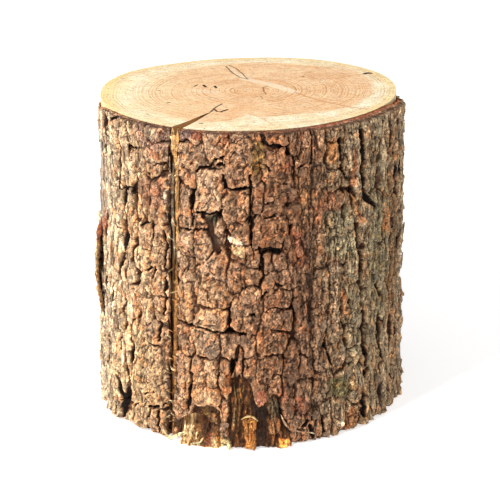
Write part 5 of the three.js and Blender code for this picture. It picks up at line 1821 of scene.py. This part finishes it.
def add_scale(store, bark, at, rng):
    """One loose scale: a thin plate with a low crown, a little askew."""
    side = float(bark.sideways[at])
    wide = rng.uniform(2.0, 4.6) * (1 - 0.25 * side)
    tall = rng.uniform(2.4, 6.5) * (1 + 0.8 * side)
    out = math.radians(bark.angle[at])
    outward = np.array([math.sin(out), -math.cos(out), 0])
    aside = np.array([math.cos(out), math.sin(out), 0])
    lean, tip = rng.uniform(-0.28, 0.28), rng.uniform(-0.3, 0.2)
    middle = to_frame(bark.angle[at], bark.radius[at] - 0.1, bark.up[at]) * 1000
    # One draw isn't used. Without it every scale after this one would come out different.
    rng.random()
    count = int(rng.integers(7, 11))
    turns = np.linspace(0, 2 * math.pi, count, endpoint=False)
    turns = np.sort(turns + rng.uniform(-0.25, 0.25, count))
    reach = 1 + 0.28 * rng.uniform(-1, 1, count)
    x, z = wide * reach * np.cos(turns), tall * reach * np.sin(turns)
    lift = (SCALE_LIFT + lean * x + tip * z)[:, None]
    flat = x[:, None] * aside + z[:, None] * np.array([0, 0, 1.0])
    face = middle + flat + lift * outward
    back = middle + 0.9 * flat + (lift - 1.5) * outward
    crown = middle + (SCALE_LIFT + SCALE_CROWN) * outward
    base = sum(len(points) for points in store.points)
    store.points.append(np.concatenate([face, back, crown[None, :]]))
    for j in range(count):
        k = (j + 1) % count
        store.faces.append([base + j, base + k, base + 2 * count])
        store.faces.append([base + j, base + count + j, base + count + k, base + k])
    store.faces.append([base + count + j for j in range(count)][::-1])
    tone = bark.tone[at] * math.exp(rng.uniform(-0.1, 0.4))
    store.tones.append(np.repeat(tone[None, :], 2 * count + 1, axis=0))


def grow_flakes(bark, material):
    """Small scales of bark that have come loose, all over the trunk but not in furrows."""
    rng = np.random.default_rng(47)
    store = SimpleNamespace(points=[], faces=[], tones=[])
    columns, rows = bark.up.shape
    made = 0
    while made < LOOSE_SCALES:
        at = int(rng.integers(4, columns - 4)), int(rng.integers(6, rows - 6))
        if bark.dark[at] <= 0.12 and bark.bare[at] <= 0.1:
            add_scale(store, bark, at, rng)
            made += 1
    finish_bits("loose_scales", store, material)


# The floor, the light and the camera.

CAMERA_PLACE = (-0.00053, -1.49917, 0.7062)
CAMERA_AIM = (-0.00053, 0.00083, 0.1454)
CAMERA_LENS = 110.74


def lay_floor():
    bpy.ops.mesh.primitive_plane_add(size=12, location=(0, 0, 0))
    floor = bpy.context.object
    floor.name = "floor"
    material, _, surface = shader("pale_floor")
    settings = {
        "Base Color": (0.9, 0.9, 0.9, 1), "Emission Color": (1, 1, 1, 1),
        "Emission Strength": 0.6, "Roughness": 0.9, "Specular IOR Level": 0.0,
    }
    for name, value in settings.items():
        surface.inputs[name].default_value = value
    floor.data.materials.append(material)


def hang_lamp(name, place, aim, size, power, colour=(1, 1, 1)):
    data = bpy.data.lights.new(name, "AREA")
    data.shape = "DISK"
    data.size = size
    data.energy = power
    data.color = colour
    lamp = bpy.data.objects.new(name, data)
    lamp.location = place
    lamp.rotation_euler = (Vector(aim) - Vector(place)).to_track_quat("-Z", "Y").to_euler()
    bpy.context.scene.collection.objects.link(lamp)


def light_scene():
    world = bpy.data.worlds.new("studio")
    world.use_nodes = True
    sky = world.node_tree.nodes["Background"]
    sky.inputs["Color"].default_value = (1, 1, 1, 1)
    sky.inputs["Strength"].default_value = 0.5
    bpy.context.scene.world = world
    hang_lamp("key", (-1.3, -1.25, 1.9), (0, 0, 0.15), 0.5, 60, (1.0, 0.975, 0.94))
    bpy.context.scene.view_settings.view_transform = "Standard"
    bpy.context.scene.view_settings.look = "None"


def place_camera():
    data = bpy.data.cameras.new("camera")
    data.sensor_width = 36
    data.lens = CAMERA_LENS
    camera = bpy.data.objects.new("camera", data)
    camera.location = CAMERA_PLACE
    view = Vector(CAMERA_AIM) - camera.location
    camera.rotation_euler = view.to_track_quat("-Z", "Y").to_euler()
    bpy.context.scene.collection.objects.link(camera)
    bpy.context.scene.camera = camera


def carried(values, extra, rest=None):
    """The outer face's values, carried on round the section as the last one or as a given one."""
    after = np.repeat(values[:, -1:], extra, axis=1)
    return np.concatenate([values, after if rest is None else 0 * after + rest], axis=1)


def dress_bark(weathering, flaking):
    bark = grow_bark()
    places, rim, edge = section_loop(bark)
    points = to_frame(places[..., 0], places[..., 1], places[..., 2])
    normals = grid_normals(points)
    extra = places.shape[1] - (ROWS + 1)
    arc = np.radians(places[..., 0]) * MEAN_RADIUS
    shade = np.exp(0.55 * grain(111, arc, places[..., 1], 4, 4, 2))[..., None]
    cut = colours_along(RIM_COLOURS, wrapped(places[..., 0])) * shade
    masks = {
        "tone": between(carried(bark.tone, extra), cut, rim[..., None]),
        "dark": np.where(edge > 0.9, 0.15, carried(bark.dark, extra, 0.6)),
        "crest": carried(bark.crest, extra, 0),
    }
    material = bark_finish(weathering, flaking)
    for name, first, last in bark.spans:
        panel_piece(name, places, points, normals, masks, (first, last), material)
    grow_strands(material)
    grow_flakes(bark, material)
    grow_flap(material)


place_camera()
lay_floor()
light_scene()
weathering = make_weathering()
grow_wood(wood_finish(weathering, make_line()))
flaking = make_flaking()
dress_bark(weathering, flaking)
